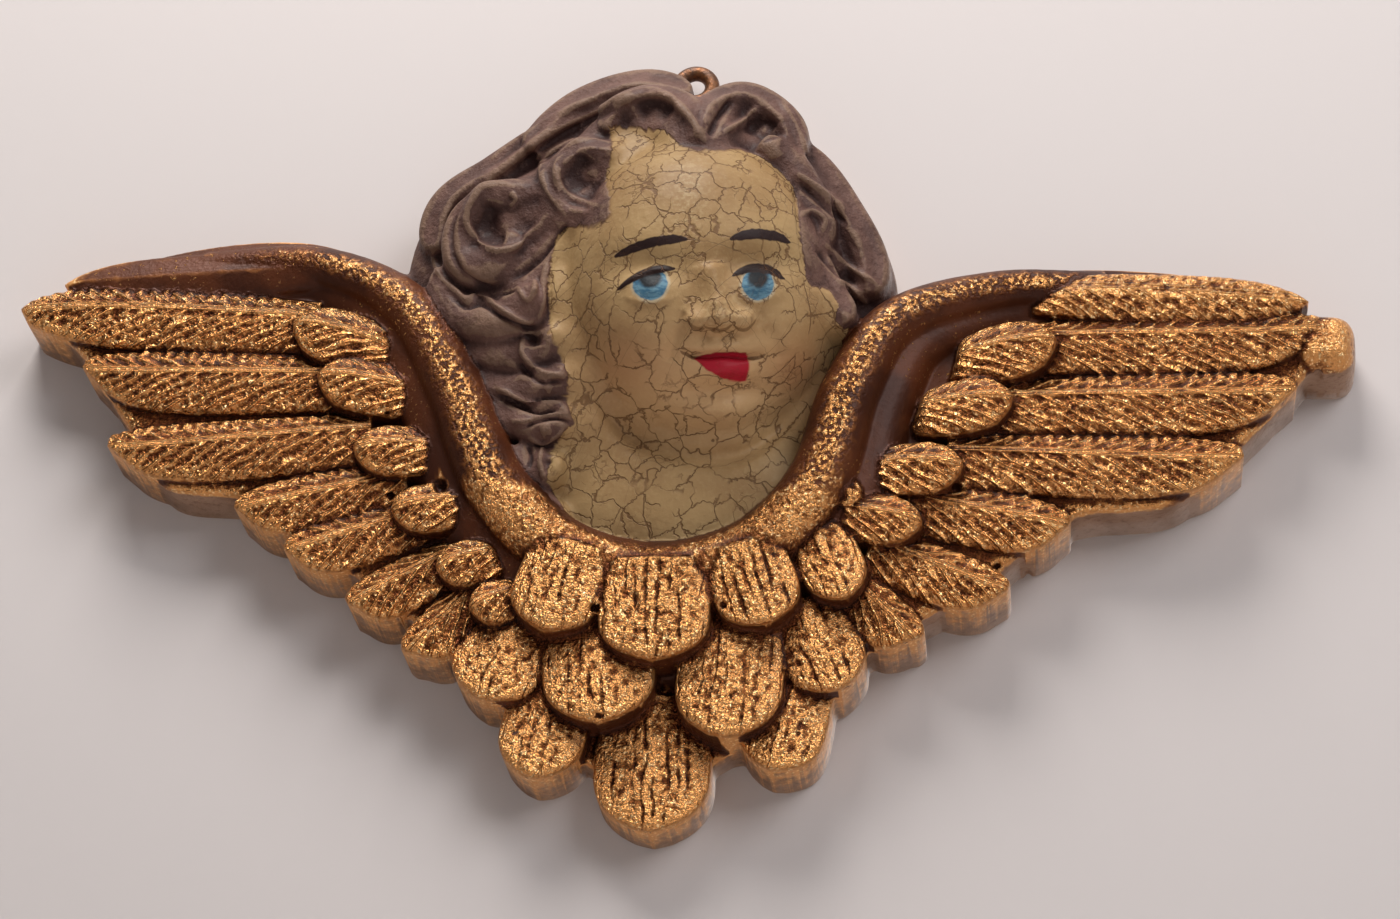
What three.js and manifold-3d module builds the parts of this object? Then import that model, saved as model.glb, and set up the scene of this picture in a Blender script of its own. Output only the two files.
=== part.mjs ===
// Winged cherub head, a small cast and painted wall ornament that hangs from a brass eye.
// Millimetres. +X is the viewer's right, +Z is up, and the flat back lies on the wall at Y = 0,
// so the face looks along -Y. The origin is the middle of the hanging eye's hole, at the wall.
import * as THREE from 'three';
import { mergeVertices } from 'three/addons/utils/BufferGeometryUtils.js';
import Module from 'manifold-3d';

const wasm = await Module();
wasm.setup();

// Driving sizes of the casting
const WING_SPAN = 170.0;         // from the tip of one wing to the tip of the other
const WING_DROP = 104.2;         // from the top line of the carving's plan to the point of the breast
const PLAN_SPAN = 170.0;         // span and drop at which the plan's points below are drawn
const PLAN_DROP = 104.2;
const WING_THICKNESS = 7.4;      // plain body of the wings between the feathers, wall to face
const BREAST_THICKNESS = 5.0;    // the same at the point of the breast
const WING_EDGE_ROUND = 1.2;     // rounding of the wings' rim
const FEATHER_CROWN = 0.9;       // how far a feather's quill stands over its edges
const COLLAR_WIDTH = 9.0;        // rolled leading edge of the wings, around the neck
const COLLAR_HEIGHT = 14.0;      // crest of the roll beside the neck, from the wall
const HAIR_EDGE = 4.5;           // height of the hair's outline over the wall
const HAIR_ROUND = 9.5;          // how far the hair swells from its outline to its top
const BURY = 1.0;                // how far rounded masses run past the wall before they are cut flat
const STRAND_FOOT = 3.0;         // height over the wall to which a strand goes down
const CLEARANCE = 0.3;           // gap between the casting and the eye set in it

// Head: place of its centre in the plan, its turn in degrees, and half its width, height and depth
const HEAD_CENTRE = [2.8, -33.5, 8.0];
const HEAD_TURN = 12;            // to the viewer's right
const HEAD_NOD = 20;             // downward
const HEAD_LEAN = 11;            // crown of the head to the viewer's left
const HEAD_HALF = { across: 17.8, up: 20.6, forward: 18.0 };
const NECK_CENTRE = [2.5, -58.0, 1.0];
const NECK_HALF = new THREE.Vector3(21.0, 9.6, 15.0);

// Blunt knob at the tip of the right wing
const KNOB_CENTRE = [81.2, -37.6, 5.2];
const KNOB_HALF = new THREE.Vector3(3.8, 5.0, 3.4);

// Hanging eye: a ring of brass wire on a straight shank, half sunk in the crown of the hair
const EYE_PLACE = [-0.6, 0.9];   // middle of its hole in the plan of the carving below
const EYE_WIRE = 2.0;            // wire diameter
const EYE_HOLE = 2.4;            // inside diameter of the ring
const EYE_FROM_WALL = 2.6;       // middle of the wire, from the wall
const SHANK_LENGTH = 9.0;        // from the foot of the ring down into the casting

const GOLD = new THREE.MeshStandardMaterial({ color: 0xb5763a, roughness: 0.42, metalness: 0.6 });
const BRASS = new THREE.MeshStandardMaterial({ color: 0x8a6a3a, roughness: 0.4, metalness: 0.9 });

// Rows of feathers. Each gives the number of feathers, then first, middle and last place [x, z] of
// the roots and of the tips, the first and last width, and the height of root and tip over the wall.
const ROWS = [
  // left wing
  { count: 1, roots: [[-45, -30]], tips: [[-80, -33]], width: [7, 7], rise: [8.4, 8.2] },
  { count: 3, roots: [[-46, -38.5], [-41, -46.5], [-37, -54]], tips: [[-85, -37], [-76.5, -47], [-71.5, -58]],
    width: [9, 8.6], rise: [8.6, 8.8] },
  { count: 4, roots: [[-32, -60], [-27, -67.5], [-21.5, -74.5]],
    tips: [[-53.5, -65.5], [-42, -74.5], [-29, -84]], width: [8, 7], rise: [8.2, 8.8] },
  { count: 6, roots: [[-34, -43.5], [-25, -60], [-15, -75]], tips: [[-48.5, -39], [-36, -61], [-22, -78]],
    width: [8, 6], rise: [9.8, 11] },
  // right wing
  { count: 1, roots: [[44, -32.5]], tips: [[79, -33]], width: [7, 7], rise: [9.6, 9.2] },
  { count: 3, roots: [[45, -39.5], [40, -48], [35, -55.5]], tips: [[82, -38], [78.5, -46.5], [72, -56]],
    width: [8.6, 8.6], rise: [8.6, 8.8] },
  { count: 3, roots: [[30.5, -61.5], [26, -67.5], [23, -72]], tips: [[50.5, -65], [43, -74], [32, -80.5]],
    width: [8, 7.2], rise: [8.2, 8.8] },
  { count: 4, roots: [[34.5, -43], [27.5, -54], [20.5, -63.5]], tips: [[48, -39.5], [40, -52.5], [32.5, -65]],
    width: [8, 6.8], rise: [9.8, 11] },
  { count: 2, roots: [[18, -59.5], [19, -65]], tips: [[25, -62], [24, -75.5]],
    width: [5, 8.2], rise: [10.2, 11.4] },
  // breast, from the sides and the point up to the collar
  { count: 2, roots: [[-16, -78], [18, -75]], tips: [[-20, -89], [23.5, -86.5]],
    width: [11.6, 10.4], rise: [8.4, 9.2] },
  { count: 2, roots: [[-11, -84], [18.5, -84.5]], tips: [[-13, -98.5], [15.5, -96.5]],
    width: [11, 10.6], rise: [7, 8] },
  { count: 1, roots: [[1, -87]], tips: [[1.5, -104.2]], width: [14.6, 14.6], rise: [6.2, 6.4] },
  { count: 2, roots: [[-6.5, -77.5], [10.5, -77]], tips: [[-5, -92], [10, -93.5]],
    width: [14, 13.4], rise: [9, 10.4] },
  { count: 3, roots: [[-10, -68], [0.5, -68.5], [11, -67.5]], tips: [[-12.5, -81], [1, -84.5], [14.5, -79.5]],
    width: [11.4, 10.8], rise: [11.6, 12] },
];

// Plan outlines and ridges, [x, z]. Each is a smooth curve through the few points given.
const WING_BODY = [[-81, -36.5], [-72, -29.3], [-50, -25.3], [-36, -29.5], [-10, -40], [26, -33],
  [38, -29], [56, -27.6], [71, -29.8], [81, -36.5], [77.5, -44], [70, -53], [63, -60], [50, -62.5],
  [40, -71.5], [30, -78], [20, -85.5], [11, -93], [1, -98], [-10, -93.5], [-19, -86], [-27, -80],
  [-36, -73.5], [-44, -67.5], [-52, -62.5], [-63, -61], [-67.5, -55], [-75.5, -44]];
const HAIR_OUTLINE = [[-35, -33], [-35.2, -25.5], [-32, -18], [-24.5, -12.8], [-17, -7.5], [-9, -3.8],
  [-0.5, -2], [6, -3], [12.5, -5.5], [16.5, -12], [21.5, -18], [26, -24.5], [27.5, -33], [20, -44],
  [-6, -60], [-18, -62], [-27, -46]];
const HAIR_MIDDLE = [-4, -32];
const COLLAR_LINE = [[-62, -29.5], [-47, -29.5], [-34.5, -36], [-27, -47.5], [-20.5, -61], [-12, -69],
  [0, -72], [12, -68.5], [19.5, -60], [23, -47], [28, -37.5], [40, -31.8], [54, -30.5]];
const COLLAR_RISE = [8.6, 10.0, 12.6, COLLAR_HEIGHT, COLLAR_HEIGHT, 13.2, 12.6, 13.2, COLLAR_HEIGHT,
  COLLAR_HEIGHT, 12.8, 10.4, 9.0];

// Locks of hair: crest [x, z, height over the wall], then the width in the middle of the lock.
const LOCKS = [
  { line: [[0.5, -7, 15], [-6, -6.2, 15.5], [-13, -8.5, 15], [-20, -15, 14.5]], width: 8 },
  { line: [[-9.5, -15.5, 19.5], [-7.5, -12.5, 20.5], [-3.5, -11.5, 21.5], [0.5, -13.5, 22.5], [3, -18, 23.5]],
    width: 6 },
  { line: [[-8, -19.5, 21.5], [-12, -19, 20.5], [-15, -22.5, 19.5], [-13.5, -26.5, 19.5], [-9, -28.5, 21]],
    width: 5 },
  { line: [[-16.5, -12, 14], [-24, -17.5, 13], [-29.5, -21.5, 12], [-31, -28.5, 11.5]], width: 8 },
  { line: [[-16.5, -23.5, 18], [-22.5, -23, 17], [-27, -26, 16], [-27, -31, 15.5], [-22.5, -33, 17],
    [-20, -29, 17]], width: 5 },
  { line: [[-30.5, -31.5, 12], [-27.5, -37, 13.5], [-22, -40, 16], [-16.5, -38, 18.5]], width: 6 },
  { line: [[-27, -39.5, 11.5], [-22.5, -43.5, 13.5], [-17, -44.5, 15.5], [-13.5, -42.5, 17]], width: 4.6 },
  { line: [[-24, -45, 11.5], [-19.5, -48.5, 13.5], [-12.5, -47.5, 15.5]], width: 4.6 },
  { line: [[-21.5, -50.5, 12], [-16.5, -53, 13.5], [-11.5, -52.5, 14]], width: 4.6 },
  { line: [[-18.5, -56, 11.5], [-15.5, -58.5, 12], [-12, -58, 12]], width: 5 },
  { line: [[-17, -61, 11], [-14, -63.5, 10.5], [-11.5, -65, 10]], width: 4 },
  { line: [[3, -18.5, 23.5], [4.5, -12.5, 21.5], [8, -10, 19.5], [12.5, -13, 19], [14.5, -18, 18.5]],
    width: 6.4 },
  { line: [[11, -17, 20.5], [14.5, -20, 19], [17, -24.5, 17.5], [18.5, -30, 15.5]], width: 5.4 },
  { line: [[14.5, -15, 16], [19.5, -22, 14.5], [23, -28, 13], [24.5, -34, 12]], width: 7 },
  { line: [[16.5, -30.5, 17], [19, -35.5, 16], [22.5, -39.5, 14.5]], width: 6 },
  { line: [[-12, -28, 18.5], [-15, -32.5, 17.5], [-13.5, -38, 17.5]], width: 6 },
];

// Face: [across, up, spread across, spread up, rise in mm], across and up as shares of the half sizes.
const FEATURES = [
  [0.37, 0.06, 0.17, 0.11, -1.5],    // eye sockets, and every row below with its mirror image
  [0.37, 0.0, 0.10, 0.06, 0.9],      // lids over the eyes
  [0.34, 0.24, 0.20, 0.06, 0.5],     // brows
  [0.45, -0.36, 0.20, 0.18, 1.1],    // cheeks
  [0.085, -0.23, 0.06, 0.05, 1.0],   // wings of the nose
  [0.24, -0.60, 0.10, 0.08, -0.4],   // folds beside the mouth
];
const MIDLINE = [
  [0, 0.02, 0.07, 0.15, 0.9],        // bridge of the nose
  [0, -0.19, 0.085, 0.085, 2.6],     // tip of the nose
  [0, -0.44, 0.12, 0.04, 0.9],       // upper lip
  [0, -0.56, 0.10, 0.04, 0.9],       // lower lip
  [0, -0.66, 0.14, 0.04, -0.7],      // hollow under the lip
  [0, -0.82, 0.16, 0.10, 1.3],       // chin
];

function solidOf(geometry) {
  const bare = geometry.clone();
  bare.deleteAttribute('normal');
  bare.deleteAttribute('uv');
  const merged = mergeVertices(bare, 1e-4);
  return new wasm.Manifold(new wasm.Mesh({
    numProp: 3,
    vertProperties: new Float32Array(merged.attributes.position.array),
    triVerts: new Uint32Array(merged.index.array),
  }));
}

function geometryOf(solid) {
  const mesh = solid.getMesh();
  const geometry = new THREE.BufferGeometry();
  geometry.setAttribute('position', new THREE.BufferAttribute(mesh.vertProperties, 3));
  geometry.setIndex(new THREE.BufferAttribute(mesh.triVerts, 1));
  geometry.computeVertexNormals();
  return geometry;
}

// Moves every vertex of a geometry to where place() puts it.
function shaped(geometry, place) {
  const position = geometry.attributes.position;
  const from = new THREE.Vector3();
  for (let i = 0; i < position.count; i += 1) {
    const to = place(from.fromBufferAttribute(position, i));
    position.setXYZ(i, to.x, to.y, to.z);
  }
  return geometry;
}

// A point [x, z] or [x, z, height over the wall] of the plan, at the size that the wings are made.
function planned([x, z, height = 0]) {
  return new THREE.Vector3(x * WING_SPAN / PLAN_SPAN, -height, z * WING_DROP / PLAN_DROP);
}

function smoothLine(points, closed = false) {
  return new THREE.CatmullRomCurve3(points.map(planned), closed);
}

// A place along three stops, by a curve that passes through each.
function along(stops, share) {
  const places = stops.map(planned).map(({ x, z }) => new THREE.Vector2(x, z));
  return places.length > 1 ? new THREE.SplineCurve(places).getPoint(share) : places[0];
}

// One feather: a blade from the wall up, broad, round at the tip and crowned along its quill.
function feather(root, tip, width, [rootRise, tipRise]) {
  const length = tip.distanceTo(root);
  const way = tip.clone().sub(root).divideScalar(length);
  const block = new THREE.BoxGeometry(1, 1, 1, 5, 2, 1);
  return shaped(block, ({ x, y, z }) => {
    const reach = 1 - (1 - (x + 0.5)) ** 1.6;
    const side = 2 * y;
    const half = 0.5 * width * (0.8 + 0.5 * reach - 0.3 * reach ** 2 - 0.72 * reach ** 7);
    const crown = FEATHER_CROWN * (1 - Math.abs(side)) * (1 - 0.5 * reach ** 4);
    const rise = z > 0 ? rootRise + (tipRise - rootRise) * reach + crown : 0;
    const run = length * (reach - 0.03 * Math.abs(side) * reach);
    return new THREE.Vector3(root.x + way.x * run - way.y * side * half, -rise,
      root.y + way.y * run + way.x * side * half);
  });
}

function featherRow({ count, roots, tips, width, rise }) {
  return Array.from({ length: count }, (_, i) => {
    const share = count > 1 ? i / (count - 1) : 0;
    const broad = width[0] + (width[1] - width[0]) * share;
    return feather(along(roots, share), along(tips, share), broad, rise);
  });
}

// A rounded strand whose crest follows a line, thickness(share) being half its width. Below its
// widest place its flanks go straight down into the mass that it lies on.
function strand(line, thickness, sides, steps) {
  const tube = new THREE.CylinderGeometry(1, 1, 1, sides, steps);
  return shaped(tube, ({ x, y, z }) => {
    const share = y + 0.5;
    const middle = line.getPointAt(share);
    const tangent = line.getTangentAt(share);
    const out = new THREE.Vector3(0, -1, 0);
    out.addScaledVector(tangent, -out.dot(tangent)).normalize();
    const side = new THREE.Vector3().crossVectors(tangent, out);
    const half = thickness(share);
    const top = middle.addScaledVector(out, half * (Math.max(z, 0) - 1));
    if (z > -0.01) {
      return top.addScaledVector(side, half * x);
    }
    const flank = Math.round(1.2 * x);
    return top.addScaledVector(side, half * flank).setY(-STRAND_FOOT);
  });
}

function lock({ line, width }) {
  const taper = (share) => 0.5 * width * (1 - 0.6 * (2 * share - 1) ** 6);
  return strand(smoothLine(line), taper, 6, 3 * line.length - 4);
}

function collar() {
  const line = smoothLine(COLLAR_LINE.map(([x, z], i) => [x, z, COLLAR_RISE[i]]));
  const taper = (share) => 0.5 * COLLAR_WIDTH * (0.5 + 0.5 * Math.sin(Math.PI * share));
  return strand(line, taper, 8, 30);
}

// Body of both wings and the breast: a plate with a rounded rim, thinner towards the breast's point.
function wingBody() {
  const shape = new THREE.Shape();
  shape.setFromPoints(smoothLine(WING_BODY, true).getPoints(2 * WING_BODY.length).slice(0, -1)
    .map(({ x, z }) => new THREE.Vector2(x, z)));
  const slab = new THREE.ExtrudeGeometry(shape, {
    depth: WING_THICKNESS - WING_EDGE_ROUND,
    bevelThickness: WING_EDGE_ROUND,
    bevelSize: WING_EDGE_ROUND,
    bevelOffset: -WING_EDGE_ROUND,
    bevelSegments: 2,
  });
  const low = Math.min(...WING_BODY.map((point) => planned(point).z));
  const high = 0.75 * low;
  // The outline's plane becomes the wall, and what would bulge into the wall is cut off later.
  return shaped(slab, ({ x, y, z }) => {
    const down = THREE.MathUtils.smoothstep(high - y, 0, high - low);
    const thin = THREE.MathUtils.lerp(1, BREAST_THICKNESS / WING_THICKNESS, down);
    return new THREE.Vector3(x, -z * thin, y);
  });
}

// Mass of the hair behind the face: it swells from its outline to a dome, and goes flat to the wall.
function hairMass() {
  const outline = smoothLine(HAIR_OUTLINE, true);
  const middle = planned(HAIR_MIDDLE);
  const dome = new THREE.SphereGeometry(1, 36, 12);
  return shaped(dome, ({ x, y, z }) => {
    const turn = Math.atan2(z, -x) / (2 * Math.PI);
    const rim = outline.getPoint((1 - turn) % 1);
    const behind = y < -0.01;
    const spread = behind ? Math.min(1, 1.6 * Math.hypot(x, z)) : Math.hypot(x, z);
    const rise = behind ? -BURY : HAIR_EDGE + HAIR_ROUND * y;
    return new THREE.Vector3(
      THREE.MathUtils.lerp(middle.x, rim.x, spread),
      -rise,
      THREE.MathUtils.lerp(middle.z, rim.z, spread),
    );
  });
}

// Axes of the turned head: across to its left cheek, up to its crown, forward out of its face.
function headAxes() {
  const turn = THREE.MathUtils.degToRad(HEAD_TURN);
  const nod = THREE.MathUtils.degToRad(HEAD_NOD);
  const lean = THREE.MathUtils.degToRad(-HEAD_LEAN);
  const level = new THREE.Vector3(Math.sin(turn), -Math.cos(turn), 0);
  const across = new THREE.Vector3(Math.cos(turn), Math.sin(turn), 0);
  const above = new THREE.Vector3(0, 0, 1);
  const forward = level.clone().multiplyScalar(Math.cos(nod)).addScaledVector(above, -Math.sin(nod));
  const crown = level.clone().multiplyScalar(Math.sin(nod)).addScaledVector(above, Math.cos(nod));
  return {
    across: across.clone().multiplyScalar(Math.cos(lean)).addScaledVector(crown, -Math.sin(lean)),
    up: across.clone().multiplyScalar(Math.sin(lean)).addScaledVector(crown, Math.cos(lean)),
    forward,
  };
}

function swelling([a, u, spreadA, spreadU, rise], across, up) {
  return rise * Math.exp(-(((across - a) / spreadA) ** 2 + ((up - u) / spreadU) ** 2) / 2);
}

function faceRelief(across, up) {
  let rise = 0;
  for (const feature of MIDLINE) {
    rise += swelling(feature, across, up);
  }
  for (const feature of FEATURES) {
    rise += swelling(feature, Math.abs(across), up);
  }
  return rise;
}

function head() {
  const axes = headAxes();
  const ball = new THREE.SphereGeometry(1, 44, 30);
  return shaped(ball, ({ x, y, z }) => {
    // Rings stand closer together on the face than behind it.
    const angle = Math.acos(THREE.MathUtils.clamp(y, -1, 1));
    const spread = Math.PI * (angle / Math.PI) ** 1.35;
    const ring = Math.hypot(x, z) || 1;
    const across = Math.sin(spread) * x / ring;
    const up = -Math.sin(spread) * z / ring;
    const forward = Math.cos(spread);
    const relief = forward > 0 ? faceRelief(across, up) * Math.min(1, 3 * forward) : 0;
    const size = 1 + relief / HEAD_HALF.forward;
    return planned(HEAD_CENTRE)
      .addScaledVector(axes.across, across * HEAD_HALF.across * size)
      .addScaledVector(axes.up, up * HEAD_HALF.up * size)
      .addScaledVector(axes.forward, forward * HEAD_HALF.forward * size);
  });
}

function neck() {
  const ball = new THREE.SphereGeometry(1, 20, 12);
  return shaped(ball, (point) => point.clone().multiply(NECK_HALF).add(planned(NECK_CENTRE)));
}

// The right wing ends in a blunt knob beyond its first feather.
function tipKnob() {
  const ball = new THREE.SphereGeometry(1, 12, 8);
  return shaped(ball, (point) => point.clone().multiply(KNOB_HALF).add(planned(KNOB_CENTRE)));
}

// The eye's ring lies flat to the wall around its own hole, and its shank runs down from it.
function eyeRing(wire) {
  const ring = new THREE.TorusGeometry(0.5 * (EYE_HOLE + EYE_WIRE), 0.5 * wire, 8, 20);
  return ring.rotateX(Math.PI / 2).translate(0, -EYE_FROM_WALL, 0);
}

function eyeShank(wire, length) {
  const rod = new THREE.CylinderGeometry(0.5 * wire, 0.5 * wire, length, 10);
  const start = 0.5 * EYE_HOLE + 0.5 * EYE_WIRE;
  return rod.rotateX(Math.PI / 2).translate(0, -EYE_FROM_WALL, -start - 0.5 * length);
}

function eyeRoom() {
  const ring = solidOf(eyeRing(EYE_WIRE + 2 * CLEARANCE));
  const shank = solidOf(eyeShank(EYE_WIRE + 2 * CLEARANCE, SHANK_LENGTH + CLEARANCE));
  const place = planned(EYE_PLACE);
  return ring.add(shank).translate([place.x, 0, place.z]);
}

function joined(geometries) {
  return geometries.map(solidOf).reduce((whole, piece) => whole.add(piece));
}

// Fills the pin-prick hollows that crossing strands can leave inside: each is a skin turned inwards.
function withoutPockets(solid) {
  return solid.decompose().filter((skin) => skin.volume() > 0).reduce((whole, body) => whole.add(body));
}

function casting() {
  const masses = [
    wingBody(), hairMass(), collar(), head(), neck(), tipKnob(),
    ...ROWS.flatMap(featherRow),
    ...LOCKS.map(lock),
  ];
  const reach = 2 * WING_SPAN;
  const wall = new THREE.BoxGeometry(reach, reach, reach).translate(0, 0.5 * reach, 0);
  return withoutPockets(joined(masses)).subtract(solidOf(wall)).subtract(eyeRoom());
}

function piece(name, solid, material) {
  const mesh = new THREE.Mesh(geometryOf(solid), material);
  mesh.name = name;
  return mesh;
}

const cast = piece('cast_winged_head', casting(), GOLD);
cast.position.copy(planned(EYE_PLACE).negate());
const eye = piece('hanging_eye', joined([eyeRing(EYE_WIRE), eyeShank(EYE_WIRE, SHANK_LENGTH)]), BRASS);

const group = new THREE.Group();
group.add(cast, eye);

export default group;
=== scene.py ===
"""Winged cherub head: a cast plaster wall ornament, painted and gilded, that hangs from a brass eye."""

import math

import bmesh
import bpy
import numpy as np
from mathutils import Matrix, Vector
from mathutils.bvhtree import BVHTree


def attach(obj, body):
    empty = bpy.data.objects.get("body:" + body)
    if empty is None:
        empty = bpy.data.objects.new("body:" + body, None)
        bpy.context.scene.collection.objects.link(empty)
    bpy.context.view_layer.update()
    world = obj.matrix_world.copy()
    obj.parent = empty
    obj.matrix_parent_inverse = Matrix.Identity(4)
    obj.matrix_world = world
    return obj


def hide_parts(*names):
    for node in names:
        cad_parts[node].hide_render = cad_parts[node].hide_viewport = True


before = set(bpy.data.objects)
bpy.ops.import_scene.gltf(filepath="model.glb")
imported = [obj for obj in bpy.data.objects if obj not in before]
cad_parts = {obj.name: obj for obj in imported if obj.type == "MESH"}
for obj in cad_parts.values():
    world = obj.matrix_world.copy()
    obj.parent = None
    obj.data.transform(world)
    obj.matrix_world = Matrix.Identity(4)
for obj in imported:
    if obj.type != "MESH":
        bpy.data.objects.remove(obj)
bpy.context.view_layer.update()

# Sizes are in millimetres. Plan points are [x, z], with x to the viewer's right and z up, and a height
# is measured from the wall at y = 0 towards the viewer, so that y = -height.
MM = 0.001
WING_THICKNESS = 7.4
BREAST_THICKNESS = 5.0
WING_EDGE_ROUND = 1.2
FEATHER_CROWN = 0.9
COLLAR_WIDTH = 9.0
COLLAR_HEIGHT = 14.0
HAIR_EDGE = 4.5
HAIR_ROUND = 9.5
BEHIND = 3.0             # how far the masses run past the wall before they are cut flat
STRAND_FOOT = -3.0       # y of the foot of a strand of hair, inside the mass that it lies on

HEAD_CENTRE = np.array([2.8, -8.0, -33.5])
HEAD_TURN, HEAD_NOD, HEAD_LEAN = 12.0, 20.0, 11.0
HEAD_HALF = np.array([17.8, 20.6, 18.0])
NECK_CENTRE = np.array([2.5, -1.0, -58.0])
NECK_HALF = np.array([21.0, 9.6, 15.0])
KNOB_CENTRE = np.array([80.8, -1.0, -37.8])
KNOB_HALF = np.array([4.2, 8.2, 4.2])
SHOULDER_OUT = 4.0       # slope of the collar towards the feathers: how far out, how low and how wide
SHOULDER_DROP = 3.4
SHOULDER_HALF = 5.5
SHELF_CLEAR = 9.0        # the bare shelf between feathers is gilded beyond this distance from the collar
LOCK_SINK = 0.9          # how far the hair between locks lies under their crests
LOCK_FALL = 0.5          # and how fast it falls away from them

EYE_PLACE = (-0.6, 0.9)
EYE_WIRE = 2.0
EYE_HOLE = 2.4
EYE_FROM_WALL = 2.6
SHANK_LENGTH = 9.0

WIRE_SIDES, RING_STEPS, SHANK_STEPS = 24, 64, 20

# The skins of the casting and of the eye
SKIN_VOXEL = 0.3
EYE_VOXEL = 0.1
SKIN_TRIANGLES = 190000

# Viewpoint of the reference picture: degrees, millimetres, and its frame in pixels
VIEW_AZIMUTH, VIEW_ELEVATION, VIEW_ROLL = 7.4, -25.2, 4.4
VIEW_DISTANCE = 446.0
VIEW_TARGET = np.array([4.2, -6.0, -55.0])
VIEW_LENS, VIEW_SENSOR = 92.1, 36.0
VIEW_SIZE = (1400, 919)

# Rows of feathers: number, then first, middle and last place of the roots and of the tips, the first
# and last width, the height of root and tip, and the kind of carving on the blades.
ROWS = [
    # left wing
    (1, [[-45, -30]], [[-80, -33]], (7, 7), (8.4, 8.2), "band"),
    (1, [[-46, -38.5]], [[-85, -37]], (9, 9), (8.6, 8.8), "first"),
    (2, [[-41, -46.5], [-37, -54]], [[-76.5, -47], [-71.5, -58]], (8.8, 8.6), (8.6, 8.8), "flight"),
    (4, [[-32, -60], [-27, -67.5], [-21.5, -74.5]], [[-53.5, -65.5], [-42, -74.5], [-29, -84]],
     (8, 7), (8.2, 8.8), "second"),
    (6, [[-34, -43.5], [-25, -60], [-15, -75]], [[-48.5, -39], [-36, -61], [-22, -78]],
     (8, 6), (9.8, 11), "covert"),
    # right wing
    (1, [[44, -32.5]], [[79, -33]], (7, 7), (9.6, 9.2), "edge"),
    (3, [[45, -39.5], [40, -48], [35, -55.5]], [[82, -38], [78.5, -46.5], [72, -56]],
     (8.6, 8.6), (8.6, 8.8), "flight"),
    (3, [[30.5, -61.5], [26, -67.5], [23, -72]], [[50.5, -65], [43, -74], [32, -80.5]],
     (8, 7.2), (8.2, 8.8), "second"),
    (4, [[34.5, -43], [27.5, -54], [20.5, -63.5]], [[48, -39.5], [40, -52.5], [32.5, -65]],
     (8, 6.8), (9.8, 11), "covert"),
    (2, [[18, -59.5], [19, -65]], [[25, -62], [24, -75.5]], (5, 8.2), (10.2, 11.4), "breast"),
    # breast, from the sides and the point up to the collar
    (2, [[-16, -78], [18, -75]], [[-20, -89], [23.5, -86.5]], (11.6, 10.4), (8.4, 9.2), "breast"),
    (2, [[-11, -84], [18.5, -84.5]], [[-13, -98.5], [15.5, -96.5]], (11, 10.6), (7, 8), "breast"),
    (1, [[1, -87]], [[1.5, -104.2]], (14.6, 14.6), (6.2, 6.4), "breast"),
    (2, [[-6.5, -77.5], [10.5, -77]], [[-5, -92], [10, -93.5]], (14, 13.4), (9, 10.4), "breast"),
    (2, [[-10, -69.5], [11, -69]], [[-12.5, -81], [14.5, -79.5]], (11.4, 10.8), (12.2, 12), "breast"),
    (1, [[0.5, -71.2]], [[1, -84.5]], (14, 14), (12.2, 12), "breast"),
]

# Carving of each kind of blade. Rises, depths and the root's fall are in millimetres, and the leans,
# points, slants and roundings of tip and root are shares of the half width.
CARVED = ("Quill Rise", "Barb Depth", "Stroke Depth", "Crumb Depth", "Notch Depth", "Tip Lean",
          "Tip Point", "Tip Slant", "Root Fall", "Root Round", "Root Slant")
CARVING = {kind: dict(zip(CARVED, values)) for kind, values in {
    "band": (0.0, 0.0, 0.0, 0.06, 0.0, 0.0, 0.72, 0.0, 0.0, 0.0, 0.0),
    "edge": (0.0, 0.1, 0.0, 0.3, 0.1, 0.0, 0.72, 0.0, 1.8, 0.2, 1.5),
    "first": (0.4, 0.2, 0.0, 0.24, 0.3, 0.0, 0.6, 0.0, 0.0, 0.0, 0.0),
    "flight": (0.4, 0.27, 0.0, 0.1, 0.35, 0.4, 0.58, 0.4, 0.0, 0.0, 0.0),
    "second": (0.34, 0.27, 0.0, 0.1, 0.25, 0.3, 0.66, 0.2, 0.0, 0.0, 0.0),
    "covert": (0.34, 0.27, 0.0, 0.18, 0.0, 0.0, 0.7, 0.0, 2.2, 0.4, 0.4),
    "breast": (0.0, 0.0, 0.2, 0.3, 0.0, 0.0, 0.72, 0.0, 0.0, 0.0, 0.0),
}.items()}
LEAF = {"band": 0.05, "edge": 0.9}    # bronze paint on a blade, where it isn't 1
BLADE_GRID = (0.36, 0.3)  # mesh steps along and across a blade, in millimetres
SEED_STEP = 7.3          # from one blade's noise to the next one's
QUILL_PLACE = 0.3        # share of the half width, towards the upper edge
QUILL_GAP = 0.3          # from the middle of a quill to each of its two lines, in millimetres
NOTCH_PITCH = 1.6
BARB_PITCH = 1.15
BARB_SLANT = 28.0
STROKE_PITCH = 1.35

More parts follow.
